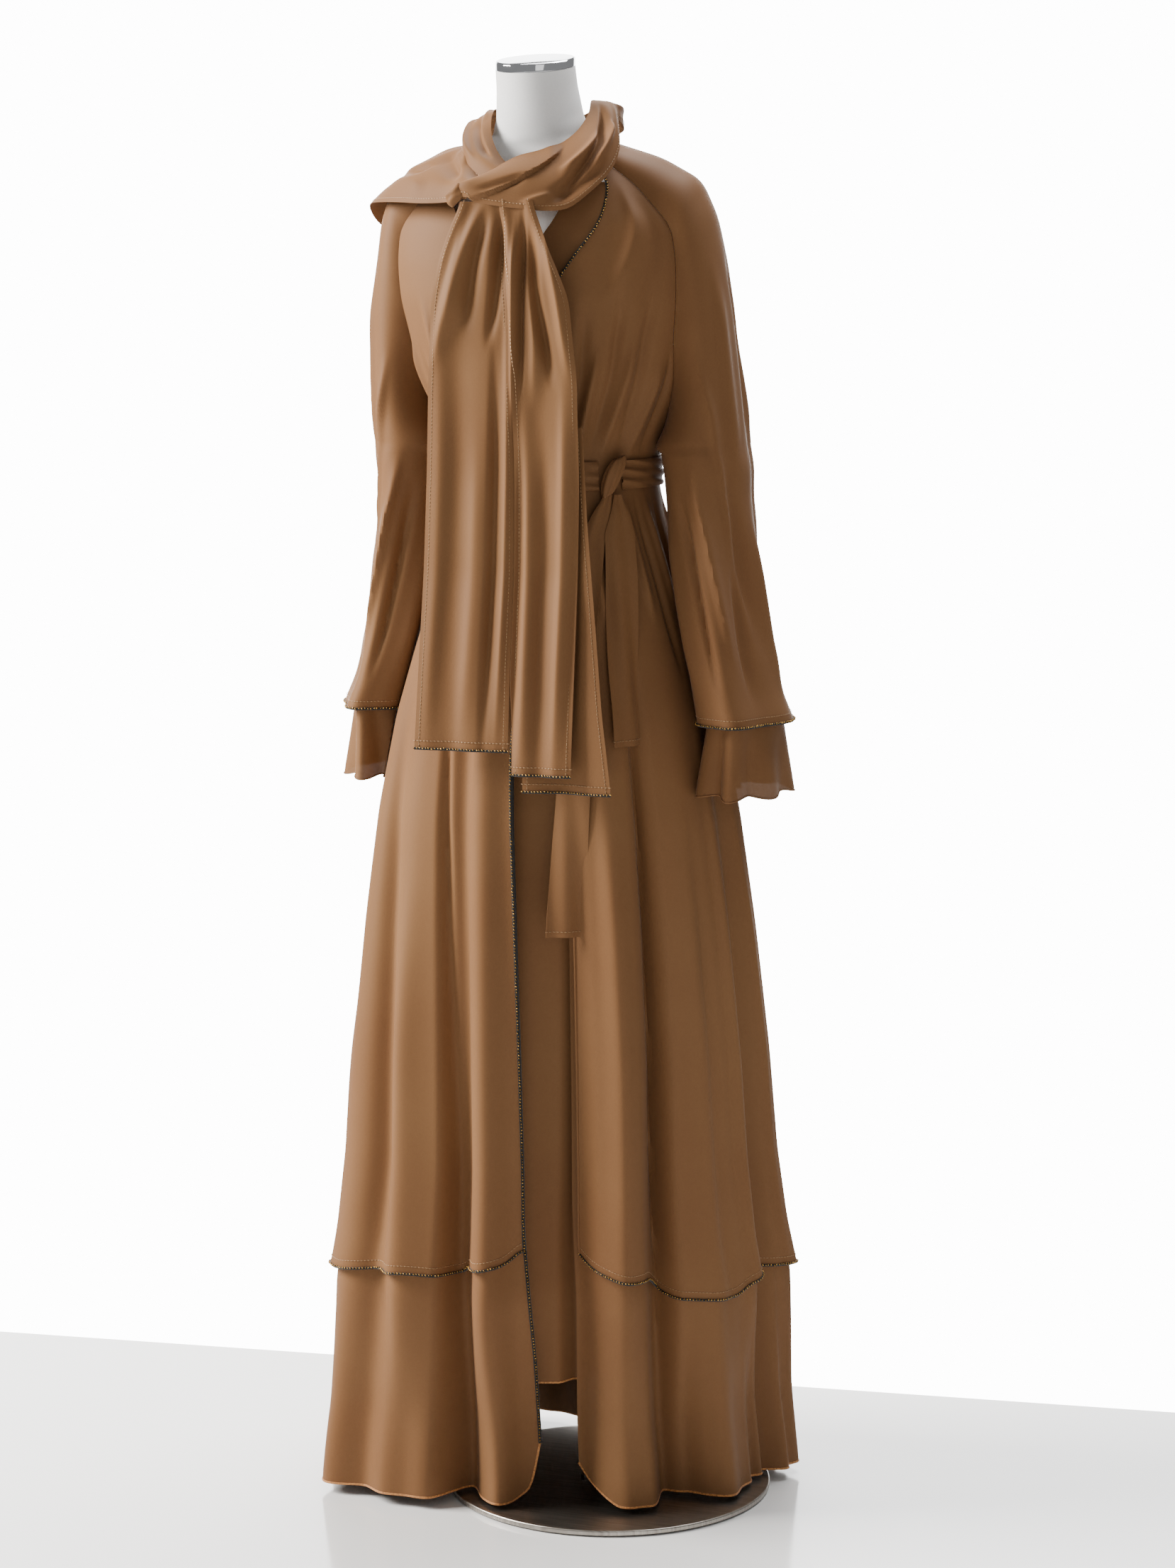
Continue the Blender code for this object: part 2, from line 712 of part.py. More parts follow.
# Belt tails: height, middle angle, half width, distance off the skirt
FRONT_TAIL = (
    (1.0794, 47.5, 0.0045, 0.0097),
    (1.060, 47.0, 0.011, 0.0120),
    (1.040, 45.0, 0.0165, 0.0110),
    (0.970, 41.0, 0.0175, 0.0085),
    (0.890, 36.5, 0.0180, 0.0080),
    (0.822, 33.5, 0.0185, 0.0080),
)
SIDE_TAIL = (
    (1.0794, 42.0, 0.0045, 0.0089),
    (1.060, 37.0, 0.010, 0.0095),
    (1.030, 30.0, 0.014, 0.0080),
    (0.950, 22.0, 0.017, 0.0070),
    (0.850, 17.0, 0.018, 0.0070),
    (0.730, 12.0, 0.019, 0.0070),
    (0.622, 8.0, 0.020, 0.0070),
)


def build_tail(name, table):
    rows = []
    for z, angle, half_width, away in table:
        middle = body_point(angle, z, away)
        spread = lookup(SECTIONS, z, 1) * math.radians(1.0) * 0.93
        share = np.linspace(-1.0, 1.0, 5)
        angles = angle + share * half_width / spread
        row = body_point(angles, z, away)
        direction = unit(row[-1] - row[0])
        flat = middle + share[:, None] * half_width * direction
        flat = flat + 0.0012 * np.cos(share * math.pi)[:, None] * section_normal(angle, z)
        rows.append(flat)
    cloth_wall(name, np.array(rows), CLOTH_FINISH)


# Scarf bands round the neck: angle, radius and height of the upper edge, radius and height of the lower edge
NECK_WRAP = (
    (178, 0.060, 1.4664, 0.086, 1.4444),
    (150, 0.058, 1.4744, 0.086, 1.4484),
    (120, 0.057, 1.4824, 0.088, 1.4524),
    (90, 0.058, 1.4784, 0.090, 1.4504),
    (62, 0.064, 1.4564, 0.100, 1.4264),
    (37, 0.070, 1.440, 0.108, 1.396),
    (12, 0.078, 1.436, 0.113, 1.383),
    (-9, 0.086, 1.428, 0.119, 1.383),
    (-23, 0.108, 1.404, 0.1205, 1.391),
)
NECK_BACK = (
    (-34, 0.076, 1.4354, 0.096, 1.4214),
    (-62, 0.066, 1.4594, 0.090, 1.4334),
    (-90, 0.057, 1.4754, 0.083, 1.4494),
    (-125, 0.056, 1.4774, 0.084, 1.4514),
    (-155, 0.058, 1.4714, 0.085, 1.4474),
    (-176, 0.060, 1.4654, 0.086, 1.4434),
)
SHOULDER = (
    (-34, 0.102, 1.4150, 0.1300, 1.3870),
    (-57, 0.099, 1.4275, 0.1620, 1.3755),
    (-72, 0.103, 1.4355, 0.1870, 1.3795),
    (-92, 0.104, 1.4409, 0.1950, 1.3845),
    (-112, 0.104, 1.4399, 0.1890, 1.3735),
    (-132, 0.112, 1.4279, 0.1760, 1.3435),
)


def neck_band(name, table, crown, columns):
    """A stretch of the scarf between an upper and a lower edge, crowned between them."""
    table = np.array(table)
    angles = np.linspace(table[0, 0], table[-1, 0], columns)
    if table[0, 0] > table[-1, 0]:
        angles = angles[::-1]
    across = np.linspace(0.0, 1.0, 7)
    middle_x, middle_y = centre_line(1.44)
    grid = []
    for share in across:
        radius = lookup(table, angles, 1) * (1 - share) + lookup(table, angles, 3) * share
        z = lookup(table, angles, 2) * (1 - share) + lookup(table, angles, 4) * share
        swell = crown * math.sin(math.pi * share)
        pleat = 0.0022 * math.sin(math.pi * 4.0 * share)
        t = np.radians(angles)
        reach = radius + swell * 0.7 + pleat
        grid.append(np.stack([
            middle_x + reach * np.sin(t),
            middle_y - reach * np.cos(t) - 0.006,
            z + swell * 0.7 + pleat,
        ], axis=-1))
    cloth_wall(name, np.array(grid), CLOTH_FINISH, WOUND_CLOTH)


def build_crossing():
    """The pinned turn where the scarf crosses over itself."""
    middle_x, middle_y = centre_line(1.40)
    t = math.radians(-28.4)
    x = middle_x + 0.1275 * math.sin(t)
    y = middle_y - 0.1275 * math.cos(t) - 0.006
    rings = []
    for rise, grow in ((0.011, 0.4), (0.008, 0.8), (0.0, 1.0), (-0.008, 0.9), (-0.012, 0.5)):
        rings.append(level_ring(x, y, 1.390 + rise, 0.0123 * grow, 0.0060 * grow, 14))
    lofted("scarf_crossing", rings, CLOTH_FINISH)


# Hanging stretches of the scarf: height, left edge, right edge, distance to the front, wave height
FALL_RIGHT = np.array([
    (1.3798, -0.134, -0.098, -0.0790, 0.001),
    (1.350, -0.144, -0.093, -0.0830, 0.004),
    (1.320, -0.151, -0.088, -0.0880, 0.006),
    (1.280, -0.157, -0.082, -0.0920, 0.007),
    (1.200, -0.161, -0.076, -0.0940, 0.007),
    (1.100, -0.163, -0.073, -0.0980, 0.006),
    (1.000, -0.165, -0.071, -0.1060, 0.006),
    (0.900, -0.166, -0.070, -0.1235, 0.006),
    (0.818, -0.168, -0.068, -0.1370, 0.006),
])
FALL_LEFT = np.array([
    (1.3812, -0.094, -0.062, -0.0790, 0.001),
    (1.350, -0.090, -0.042, -0.0830, 0.004),
    (1.320, -0.086, -0.028, -0.0880, 0.006),
    (1.280, -0.078, -0.014, -0.0930, 0.008),
    (1.200, -0.072, -0.004, -0.0950, 0.008),
    (1.100, -0.068, -0.002, -0.0985, 0.008),
    (1.000, -0.066, -0.002, -0.1065, 0.008),
    (0.900, -0.062, 0.000, -0.1240, 0.008),
    (0.795, -0.050, 0.002, -0.1410, 0.007),
])
FALL_UNDER = np.array([
    (1.150, -0.060, -0.002, -0.0878, 0.003),
    (1.050, -0.058, 0.006, -0.0933, 0.004),
    (0.950, -0.056, 0.018, -0.1044, 0.004),
    (0.860, -0.054, 0.030, -0.1199, 0.004),
    (0.777, -0.052, 0.044, -0.1319, 0.004),
])


def hanging_stretch(name, table, columns, waves, phase, rows):
    heights = np.linspace(table[0, 0], table[-1, 0], rows)
    share = np.linspace(0.0, 1.0, columns)
    grid = []
    for z in heights:
        left = lookup(table, z, 1)
        right = lookup(table, z, 2)
        front = lookup(table, z, 3)
        wave = lookup(table, z, 4)
        x = left + (right - left) * share
        y = front - wave * np.sin(2.0 * math.pi * (waves * share + phase))
        grid.append(np.stack([x, y, np.full(columns, z)], axis=-1))
    cloth_wall(name, np.array(grid), CLOTH_FINISH)


def build_scarf():
    neck_band("scarf_neck_wrap", NECK_WRAP, 0.009, 26)
    neck_band("scarf_neck_back", NECK_BACK, 0.007, 16)
    neck_band("scarf_shoulder", SHOULDER, 0.008, 14)
    build_crossing()
    hanging_stretch("scarf_fall_right", FALL_RIGHT, 15, 1.7, 0.10, 13)
    hanging_stretch("scarf_fall_left", FALL_LEFT, 13, 1.5, 0.05, 13)
    hanging_stretch("scarf_fall_under", FALL_UNDER, 9, 1.0, 0.30, 8)


build_stand()
build_form()
build_outer()
build_facing()
build_underlap()
build_inner()
for side_name, side in (("right", -1), ("left", 1)):
    build_sleeve(f"sleeve_{side_name}", side)
    build_flounce(f"flounce_{side_name}", side)
build_belt()
build_tail("belt_tail_front", FRONT_TAIL)
build_tail("belt_tail_side", SIDE_TAIL)
build_scarf()
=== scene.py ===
import math

import bpy
import numpy as np
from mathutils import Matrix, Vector


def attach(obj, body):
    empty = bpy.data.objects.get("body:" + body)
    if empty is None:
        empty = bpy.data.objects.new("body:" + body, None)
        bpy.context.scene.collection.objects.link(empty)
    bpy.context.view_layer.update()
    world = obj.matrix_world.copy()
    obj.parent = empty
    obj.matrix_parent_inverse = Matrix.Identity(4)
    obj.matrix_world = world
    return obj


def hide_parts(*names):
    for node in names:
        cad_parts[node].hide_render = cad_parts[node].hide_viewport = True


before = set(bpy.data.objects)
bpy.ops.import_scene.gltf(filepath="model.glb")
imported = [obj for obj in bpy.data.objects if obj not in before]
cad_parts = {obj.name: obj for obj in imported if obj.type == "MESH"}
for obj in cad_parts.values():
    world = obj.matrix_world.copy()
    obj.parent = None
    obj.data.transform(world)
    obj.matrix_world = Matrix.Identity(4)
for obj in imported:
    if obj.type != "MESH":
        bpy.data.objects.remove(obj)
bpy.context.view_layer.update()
dice = np.random.default_rng(11)  # the same beads and stitches on every run

# Angles go round the body: 0 at the front, growing to the wearer's left. Lengths are in metres.


def lookUp(table, place, column, soften=0.0):
    # a column of a table at some places, rounded over a short stretch where soften is given
    table = np.asarray(table, float)
    order = np.argsort(table[:, 0])
    place = np.asarray(place, float)
    keys, values = table[order, 0], table[order, column]
    if soften == 0.0:
        return np.interp(place, keys, values)
    steps = (-1.0, -0.6, -0.3, 0.0, 0.3, 0.6, 1.0)
    return sum(np.interp(place + step * soften, keys, values) for step in steps) / len(steps)


def lookUpAll(table, place, soften=0.0):
    return [float(lookUp(table, place, k, soften)) for k in range(1, len(table[0]))]


def easeIn(share):
    share = np.clip(share, 0.0, 1.0)
    return share * share * (3.0 - 2.0 * share)


def bump(away, halfWidth):
    return 0.5 + 0.5 * np.cos(math.pi * np.clip(np.abs(away) / halfWidth, 0.0, 1.0))


def turnBetween(a, b):
    return (a - b + 180.0) % 360.0 - 180.0


def unit(vectors):
    return vectors / np.linalg.norm(vectors, axis=-1, keepdims=True)


def creaseHeight(across, z, creases, round360=True):
    # soft troughs and ridges laid one by one: place and height at the top, the same at the foot,
    # half width, height, and how far the line bows sideways
    total = np.zeros(np.broadcast(across, z).shape)
    for topPlace, topZ, footPlace, footZ, halfWidth, height, bow in creases:
        along = (topZ - z) / (topZ - footZ)
        line = topPlace + (footPlace - topPlace) * along + bow * np.sin(math.pi * np.clip(along, 0.0, 1.0))
        away = turnBetween(across, line) if round360 else across - line
        away = np.where(away > 0.0, away / 1.35, away) / halfWidth  # one flank is always steeper
        ends = np.clip(np.minimum(along, 1.0 - along) * 3.0, 0.0, 1.0)
        total = total + height * easeIn(ends) * np.exp(-1.9 * away * away)
    return total


# The garment's own form: the solids' sizes, with the folds, front edges and short hem nearer to the photo's
garment = {
    "poleLean": (-0.0590, 0.0274),
    "waistHeight": 1.10,
    "underarmHeight": 1.125,
    "cloth": 0.0006,
    "layerGap": 0.0085,
    "lap": 0.0060,
    # height, half width, half depth, turn in degrees
    "sections": (
        (1.460, 0.070, 0.060, 0.0), (1.433, 0.085, 0.070, 0.0), (1.400, 0.135, 0.085, 0.0),
        (1.355, 0.172, 0.100, 0.0), (1.320, 0.175, 0.108, 0.0), (1.282, 0.172, 0.112, 0.0),
        (1.240, 0.160, 0.112, 0.0), (1.200, 0.150, 0.108, 0.0), (1.160, 0.130, 0.102, 0.0),
        (1.125, 0.110, 0.095, 0.0), (1.100, 0.104, 0.091, 0.0), (1.060, 0.111, 0.097, 0.5),
        (1.000, 0.130, 0.110, 1.0), (0.930, 0.150, 0.124, 2.0), (0.840, 0.174, 0.136, 4.0),
        (0.740, 0.192, 0.144, 6.0), (0.620, 0.206, 0.150, 9.0), (0.480, 0.219, 0.155, 12.0),
        (0.370, 0.226, 0.160, 14.0), (0.290, 0.236, 0.165, 15.0), (0.235, 0.247, 0.171, 16.0),
        (0.100, 0.249, 0.160, 16.0), (0.008, 0.258, 0.165, 17.0),
    ),
    # angle at the hips, angle at the hem, half width in degrees, height
    "folds": (
        (-85, -75, 32, 0.006), (-96, -93, 9, -0.010), (-72, -62, 15, 0.020), (-47, -42, 13, 0.014),
        (-24, -26, 7, -0.028), (-15, -17, 8, 0.022), (7, 1, 12, -0.014), (16, 6, 6, -0.018),
        (31, 17, 9, 0.022), (41, 28, 6, -0.024), (58, 44, 12, 0.011), (76, 70, 8, -0.017), (88, 86, 8, 0.012),
        (103, 104, 9, -0.014), (120, 121, 9, 0.019), (138, 139, 10, -0.016), (156, 157, 9, 0.014),
        (171, 174, 9, -0.018), (189, 192, 10, 0.017), (206, 207, 8, -0.013), (221, 224, 9, 0.016),
        (237, 239, 8, -0.015), (252, 253, 8, 0.011),
    ),
    "foldTop": 1.02,
    "foldFull": 0.26,
    # waves of the long hem below the short one: angle, half width in degrees, height
    "hemWaves": (
        (-66, 10, 0.012), (-48, 8, 0.009), (-33, 7, 0.008), (-20, 9, -0.028), (-7, 8, -0.014),
        (24, 6, 0.016), (34, 5, -0.012), (44, 7, 0.010), (61, 6, -0.014), (75, 7, 0.010),
        (120, 8, 0.012), (147, 9, 0.010), (166, 7, -0.008), (200, 8, 0.010), (231, 8, 0.008),
    ),
    # height of each hem, from angle to angle round the body
    "shortHem": (
        (-90, 0.240), (-62, 0.250), (-40, 0.258), (-27, 0.254), (-22, 0.268), (-12, 0.276), (-8, 0.290),
        (5, 0.290), (9, 0.272), (16, 0.262), (25, 0.256), (30, 0.234), (50, 0.228), (66, 0.246), (90, 0.238),
        (180, 0.246), (270, 0.240),
    ),
    "longHem": (
        (-90, 0.0105), (-11, 0.0115), (-7, 0.022), (-3, 0.100), (8, 0.03), (14, 0.013), (90, 0.0115),
        (180, 0.0115), (270, 0.0105),
    ),
    # the raglan seam on the front: height, angle
    "raglan": (
        (1.433, 49.0), (1.400, 55.0), (1.355, 60.0), (1.320, 61.0), (1.282, 62.0), (1.240, 65.0),
        (1.200, 70.0), (1.160, 78.0), (1.125, 89.0),
    ),
    # the front edges: height, right edge angle, left edge angle
    "frontEdges": (
        (1.433, -46, 47), (1.400, -38, 41), (1.355, -22, 28), (1.300, -9, 13.5), (1.240, 1, 5), (1.180, 9, -3),
        (1.100, 7, -5), (1.030, 3, 5), (0.950, -3, 14), (0.800, -6.5, 13), (0.500, -7, 9), (0.300, -7.5, 7),
        (0.120, -5, 7), (0, -4, 7),
    ),
    # gathers over and under the belt and pulls from the shoulders: angle, height, angle, height,
    # half width in degrees, height of the fold, bow
    "creases": (
        (17, 1.255, 10, 1.112, 2.6, 0.0051, 1.0), (24, 1.290, 19, 1.112, 3.0, -0.0058, 2.0),
        (31, 1.240, 26, 1.112, 2.4, 0.0061, -1.0), (38, 1.300, 32, 1.112, 2.8, -0.0054, 1.5),
        (46, 1.250, 39, 1.112, 2.6, 0.0058, 0.0), (53, 1.315, 50, 1.112, 3.4, -0.0057, -2.0),
        (61, 1.220, 57, 1.112, 2.6, 0.0051, 0.0), (66, 1.250, 66, 1.112, 3.0, -0.0048, 1.0),
        (47, 1.405, 30, 1.270, 4.0, 0.0042, 3.0), (52, 1.390, 44, 1.240, 4.0, -0.0039, 2.0),
        (-12, 1.240, -10, 1.112, 3.0, -0.0023, 1.0), (-22, 1.270, -19, 1.112, 3.0, 0.0054, -1.0),
        (-33, 1.230, -29, 1.112, 2.6, -0.0026, 1.0), (-44, 1.290, -40, 1.112, 3.0, 0.0051, 1.0),
        (-54, 1.240, -50, 1.112, 2.6, -0.0023, 0.0), (-64, 1.260, -62, 1.112, 3.0, 0.0048, 0.0),
        (104, 1.230, 106, 1.112, 3.0, -0.0023, 1.0), (118, 1.270, 117, 1.112, 3.2, 0.0058, -1.0),
        (133, 1.235, 131, 1.112, 2.8, -0.0027, 1.0), (147, 1.290, 145, 1.112, 3.2, 0.0051, 0.0),
        (161, 1.240, 160, 1.112, 2.8, -0.0026, 1.0), (176, 1.280, 175, 1.112, 3.2, 0.0054, 1.0),
        (191, 1.235, 190, 1.112, 2.8, -0.0026, 0.0), (206, 1.290, 204, 1.112, 3.2, 0.0054, -1.0),
        (221, 1.240, 219, 1.112, 2.8, -0.0024, 0.0), (236, 1.270, 234, 1.112, 3.2, 0.0051, 1.0),
        (250, 1.230, 249, 1.112, 2.8, -0.0022, 0.0), (140, 1.400, 150, 1.250, 4.5, 0.0039, 3.0),
        (222, 1.400, 212, 1.250, 4.5, 0.0039, -3.0), (180, 1.410, 181, 1.300, 6.0, -0.0015, 0.0),
        (14, 1.084, 20, 0.960, 2.6, -0.0051, 0.0), (27, 1.084, 33, 0.930, 2.6, 0.0048, 1.0),
        (35, 1.084, 41, 0.900, 2.2, -0.0045, 0.0), (54, 1.084, 57, 0.940, 2.6, 0.0051, 0.0),
        (62, 1.084, 66, 0.880, 2.4, -0.0048, 1.0), (71, 1.084, 74, 0.950, 2.6, 0.0042, 0.0),
        (80, 1.084, 81, 0.860, 2.4, -0.0045, 0.0), (-12, 1.084, -14, 0.940, 2.6, 0.0045, 0.0),
        (-24, 1.084, -27, 0.900, 2.6, -0.0051, 0.0), (-36, 1.084, -38, 0.930, 2.6, 0.0045, 0.0),
        (-49, 1.084, -52, 0.880, 2.6, -0.0048, 0.0), (-61, 1.084, -64, 0.940, 2.6, 0.0045, 0.0),
        (-73, 1.084, -76, 0.900, 2.6, -0.0045, 0.0), (100, 1.084, 101, 0.920, 2.8, 0.0045, 0.0),
        (112, 1.084, 112, 0.880, 2.6, -0.0048, 0.0), (127, 1.084, 128, 0.940, 2.8, 0.0048, 0.0),
        (141, 1.084, 142, 0.900, 2.6, -0.0051, 0.0), (154, 1.084, 155, 0.930, 2.8, 0.0045, 0.0),
        (168, 1.084, 169, 0.890, 2.6, -0.0051, 0.0), (183, 1.084, 184, 0.940, 2.8, 0.0048, 0.0),
        (197, 1.084, 198, 0.900, 2.6, -0.0048, 0.0), (211, 1.084, 212, 0.940, 2.8, 0.0045, 0.0),
        (225, 1.084, 226, 0.890, 2.6, -0.0048, 0.0), (241, 1.084, 242, 0.930, 2.8, 0.0045, 0.0),
        (-62, 0.900, -52, 0.120, 4.4, -0.0085, 3.0), (-44, 0.700, -41, 0.060, 4.6, 0.0060, -2.0),
        (-34, 0.960, -28, 0.100, 2.2, -0.0120, 1.0), (-79, 0.620, -72, 0.060, 5.0, 0.0060, 2.0),
        (38, 0.960, 27, 0.120, 1.8, -0.0130, 0.0), (24, 0.900, 16, 0.120, 4.0, 0.0060, 1.0),
        (55, 0.800, 46, 0.080, 3.6, -0.0068, 0.0), (66, 0.880, 60, 0.100, 3.2, 0.0068, -1.0),
        (69, 0.640, 66, 0.060, 2.6, -0.0065, 0.0), (82, 0.820, 80, 0.080, 2.6, 0.0057, 0.0),
        (96, 0.800, 95, 0.060, 3.0, -0.0065, 0.0), (112, 0.820, 112, 0.080, 3.0, 0.0065, 1.0),
        (129, 0.760, 130, 0.060, 3.0, -0.0061, 0.0), (147, 0.840, 148, 0.080, 3.0, 0.0065, 0.0),
        (164, 0.780, 165, 0.060, 3.0, -0.0065, 0.0), (181, 0.840, 182, 0.080, 3.0, 0.0065, 1.0),
        (198, 0.760, 200, 0.060, 3.0, -0.0061, 0.0), (214, 0.820, 215, 0.080, 3.0, 0.0061, 0.0),
        (229, 0.780, 231, 0.060, 3.0, -0.0065, 0.0), (245, 0.820, 246, 0.080, 3.0, 0.0061, 0.0),
    ),
}


def middleLine(z):
    # on the leaning pole's line above the waist, hanging straight below it
    held = np.maximum(z, garment["waistHeight"])
    return garment["poleLean"][0] * held, garment["poleLean"][1] * held


def foldHeight(angle, z):
    grown = np.clip((garment["foldTop"] - z) / (garment["foldTop"] - garment["foldFull"]), 0.0, 1.1)
    total = np.zeros(np.broadcast(angle, z).shape)
    for atHip, atHem, halfWidth, height in garment["folds"]:
        place = atHip + (atHem - atHip) * np.clip(grown, 0.0, 1.0)
        total = total + height * grown * bump(turnBetween(angle, place), halfWidth)
    return total


def waveHeight(angle, z):
    grown = easeIn((0.24 - z) / 0.22)
    total = np.zeros(np.broadcast(angle, z).shape)
    for place, halfWidth, height in garment["hemWaves"]:
        total = total + height * grown * bump(turnBetween(angle, place), halfWidth)
    return total


def bodyPoint(angle, z, outward=0.0, waves=0.0, creased=1.0):
    angle, z = np.broadcast_arrays(np.asarray(angle, float), np.asarray(z, float))
    wide = lookUp(garment["sections"], z, 1, 0.012)
    deep = lookUp(garment["sections"], z, 2, 0.012)
    turn = np.radians(lookUp(garment["sections"], z, 3, 0.02))
    t = np.radians(angle)
    away = outward + foldHeight(angle, z) + waves * waveHeight(angle, z)
    if np.any(creased):
        away = away + creased * creaseHeight(angle, z, garment["creases"])
    slope = np.hypot(np.sin(t) / wide, np.cos(t) / deep)
    x = wide * np.sin(t) + away * np.sin(t) / wide / slope
    y = -deep * np.cos(t) - away * np.cos(t) / deep / slope
    middleX, middleY = middleLine(z)
    return np.stack([
        middleX + x * np.cos(turn) - y * np.sin(turn),
        middleY + x * np.sin(turn) + y * np.cos(turn),
        z,
    ], axis=-1)


def plainNormal(angle, z):
    near = bodyPoint(np.array([angle - 0.5, angle + 0.5]), z, creased=0.0)
    across = near[1] - near[0]
    return unit(np.array([across[1], -across[0], 0.0]))


def gridNormals(grid):
    return unit(np.cross(np.gradient(grid, axis=0), np.gradient(grid, axis=1)))


# Camera at the photograph's angle: degrees to the wearer's left and degrees that it looks down
photoView = {"turn": 18.0, "dip": 8.13, "place": (1.1245, -3.5388, 1.3), "lens": 54.0, "film": (18.0, 24.0)}


def placeCamera():
    turn, dip = math.radians(photoView["turn"]), math.radians(photoView["dip"])
    forward = Vector((-math.sin(turn) * math.cos(dip), math.cos(turn) * math.cos(dip), -math.sin(dip)))
    camera = bpy.data.objects.new("photoCamera", bpy.data.cameras.new("photoCamera"))
    camera.location = photoView["place"]
    camera.rotation_euler = forward.to_track_quat("-Z", "Y").to_euler()
    camera.data.sensor_fit = "VERTICAL"
    camera.data.sensor_width, camera.data.sensor_height = photoView["film"]
    camera.data.lens = photoView["lens"]
    camera.data.clip_end = 60.0
    bpy.context.scene.collection.objects.link(camera)
    bpy.context.scene.camera = camera


placeCamera()
print("camera placed")


def linearColour(hexCode):
    # sRGB hex to the linear colour that the shader works in
    values = [int(hexCode[i:i + 2], 16) / 255.0 for i in (1, 3, 5)]
    return tuple(v / 12.92 if v <= 0.04045 else ((v + 0.055) / 1.055) ** 2.4 for v in values) + (1.0,)


def addNode(tree, kind, settings=(), links=()):
    # one node with its settings, and links as (own input, other node, its output)
    node = tree.nodes.new(kind)
    for key, value in dict(settings).items():
        if isinstance(key, str) and hasattr(node, key):
            setattr(node, key, value)
        else:
            node.inputs[key].default_value = value
    for own, other, output in links:
        tree.links.new(other.outputs[output], node.inputs[own])
    return node


def setStops(ramp, *stops):
    for element, (position, hexCode) in zip(ramp.color_ramp.elements, stops):
        element.position, element.color = position, linearColour(hexCode)


def newMaterial(name, fixed):
    material = bpy.data.materials.new(name)
    material.use_nodes = True
    shader = material.node_tree.nodes["Principled BSDF"]
    for key, value in fixed.items():
        shader.inputs[key].default_value = value
    return material, material.node_tree, shader


# Crepe chiffon, polyester, piece-dyed: high-twist yarn gives a dry, pebbled face with a soft satin glow
chiffonLook = {
    "lightSide": "#7D5A3A",
    "shadeSide": "#755133",
    "cloudSize": 0.220,    # how far apart the slow changes of shade lie
    "pebble": 0.0016,      # real crepe grain is 0.3 mm; drawn coarser so that it shows
    "grain": 0.05,
    "roughness": 0.60,
}


def makeChiffon(name, look, opacity):
    material, tree, shader = newMaterial(name, {
        "Roughness": look["roughness"], "IOR": 1.46, "Sheen Weight": 0.05, "Sheen Roughness": 0.40,
        "Specular IOR Level": 0.15, "Alpha": opacity,
    })
    place = addNode(tree, "ShaderNodeTexCoord")
    cloud = addNode(tree, "ShaderNodeTexNoise", {"Scale": 1.0 / look["cloudSize"], "Detail": 3.0},
                    [("Vector", place, "Object")])
    weave = addNode(tree, "ShaderNodeTexNoise", {"Scale": 1.0 / look["pebble"], "Detail": 1.0},
                    [("Vector", place, "Object")])
    mixed = addNode(tree, "ShaderNodeMath", {"operation": "MULTIPLY_ADD", 1: 0.25},
                    [(0, weave, "Fac"), (2, cloud, "Fac")])
    ramp = addNode(tree, "ShaderNodeValToRGB", {}, [("Fac", mixed, "Value")])
    setStops(ramp, (0.42, look["shadeSide"]), (0.84, look["lightSide"]))
    tree.links.new(ramp.outputs["Color"], shader.inputs["Base Color"])
    grain = addNode(tree, "ShaderNodeBump", {"Strength": look["grain"], "Distance": 0.0004},
                    [("Height", weave, "Fac")])
    tree.links.new(grain.outputs["Normal"], shader.inputs["Normal"])
    return material


chiffon = makeChiffon("crepeChiffonDoubled", chiffonLook, 1.0)
singleChiffon = makeChiffon("crepeChiffonSingle", dict(chiffonLook, grain=0.04), 0.985)
sheerChiffon = makeChiffon("crepeChiffonSheer", dict(chiffonLook, grain=0.03), 0.955)


def makeThread(name, paintedGlintHex, shadeHex, roughness, size):
    # polyester thread, trilobal: spun yarn, its colour noise running up to a lighter tone that paints small
    # bright glints along each ply
    material, tree, shader = newMaterial(name, {"Roughness": roughness, "IOR": 1.46, "Sheen Weight": 0.2})
    place = addNode(tree, "ShaderNodeTexCoord")
    ply = addNode(tree, "ShaderNodeTexNoise", {"Scale": 1.0 / size, "Detail": 2.0},
                  [("Vector", place, "Object")])
    # painted glints: the lighter end of this ramp stands in for highlights along each ply; the bump from the
    # same noise is real
    ramp = addNode(tree, "ShaderNodeValToRGB", {}, [("Fac", ply, "Fac")])
    setStops(ramp, (0.35, shadeHex), (0.65, paintedGlintHex))
    tree.links.new(ramp.outputs["Color"], shader.inputs["Base Color"])
    raised = addNode(tree, "ShaderNodeBump", {"Strength": 0.4, "Distance": 0.0003}, [("Height", ply, "Fac")])
    tree.links.new(raised.outputs["Normal"], shader.inputs["Normal"])
    return material


# second colour of each: the painted glint tone; third: the shade tone
overlockThread = makeThread("overlockedThread", "#C98A4C", "#9A6230", 0.6, 0.0020)
topThread = makeThread("topstitchThread", "#B08A60", "#8E6A44", 0.5, 0.0015)
blackTape = makeThread("wovenBlackTape", "#1B1713", "#0E0C0A", 0.7, 0.0016)


def makeBead():
    # glass seed beads, silver-lined and gold-dyed: mirror-like, each a little different in shade
    material, tree, shader = newMaterial("goldSeedBeads", {"Roughness": 0.22, "Metallic": 0.85})
    place = addNode(tree, "ShaderNodeTexCoord")
    each = addNode(tree, "ShaderNodeTexVoronoi", {"Scale": 1.0 / 0.0035}, [("Vector", place, "Object")])
    ramp = addNode(tree, "ShaderNodeValToRGB", {}, [("Fac", each, "Color")])
    setStops(ramp, (0.0, "#4A3518"), (1.0, "#D2A55A"))
    tree.links.new(ramp.outputs["Color"], shader.inputs["Base Color"])
    return material


goldBeads = makeBead()


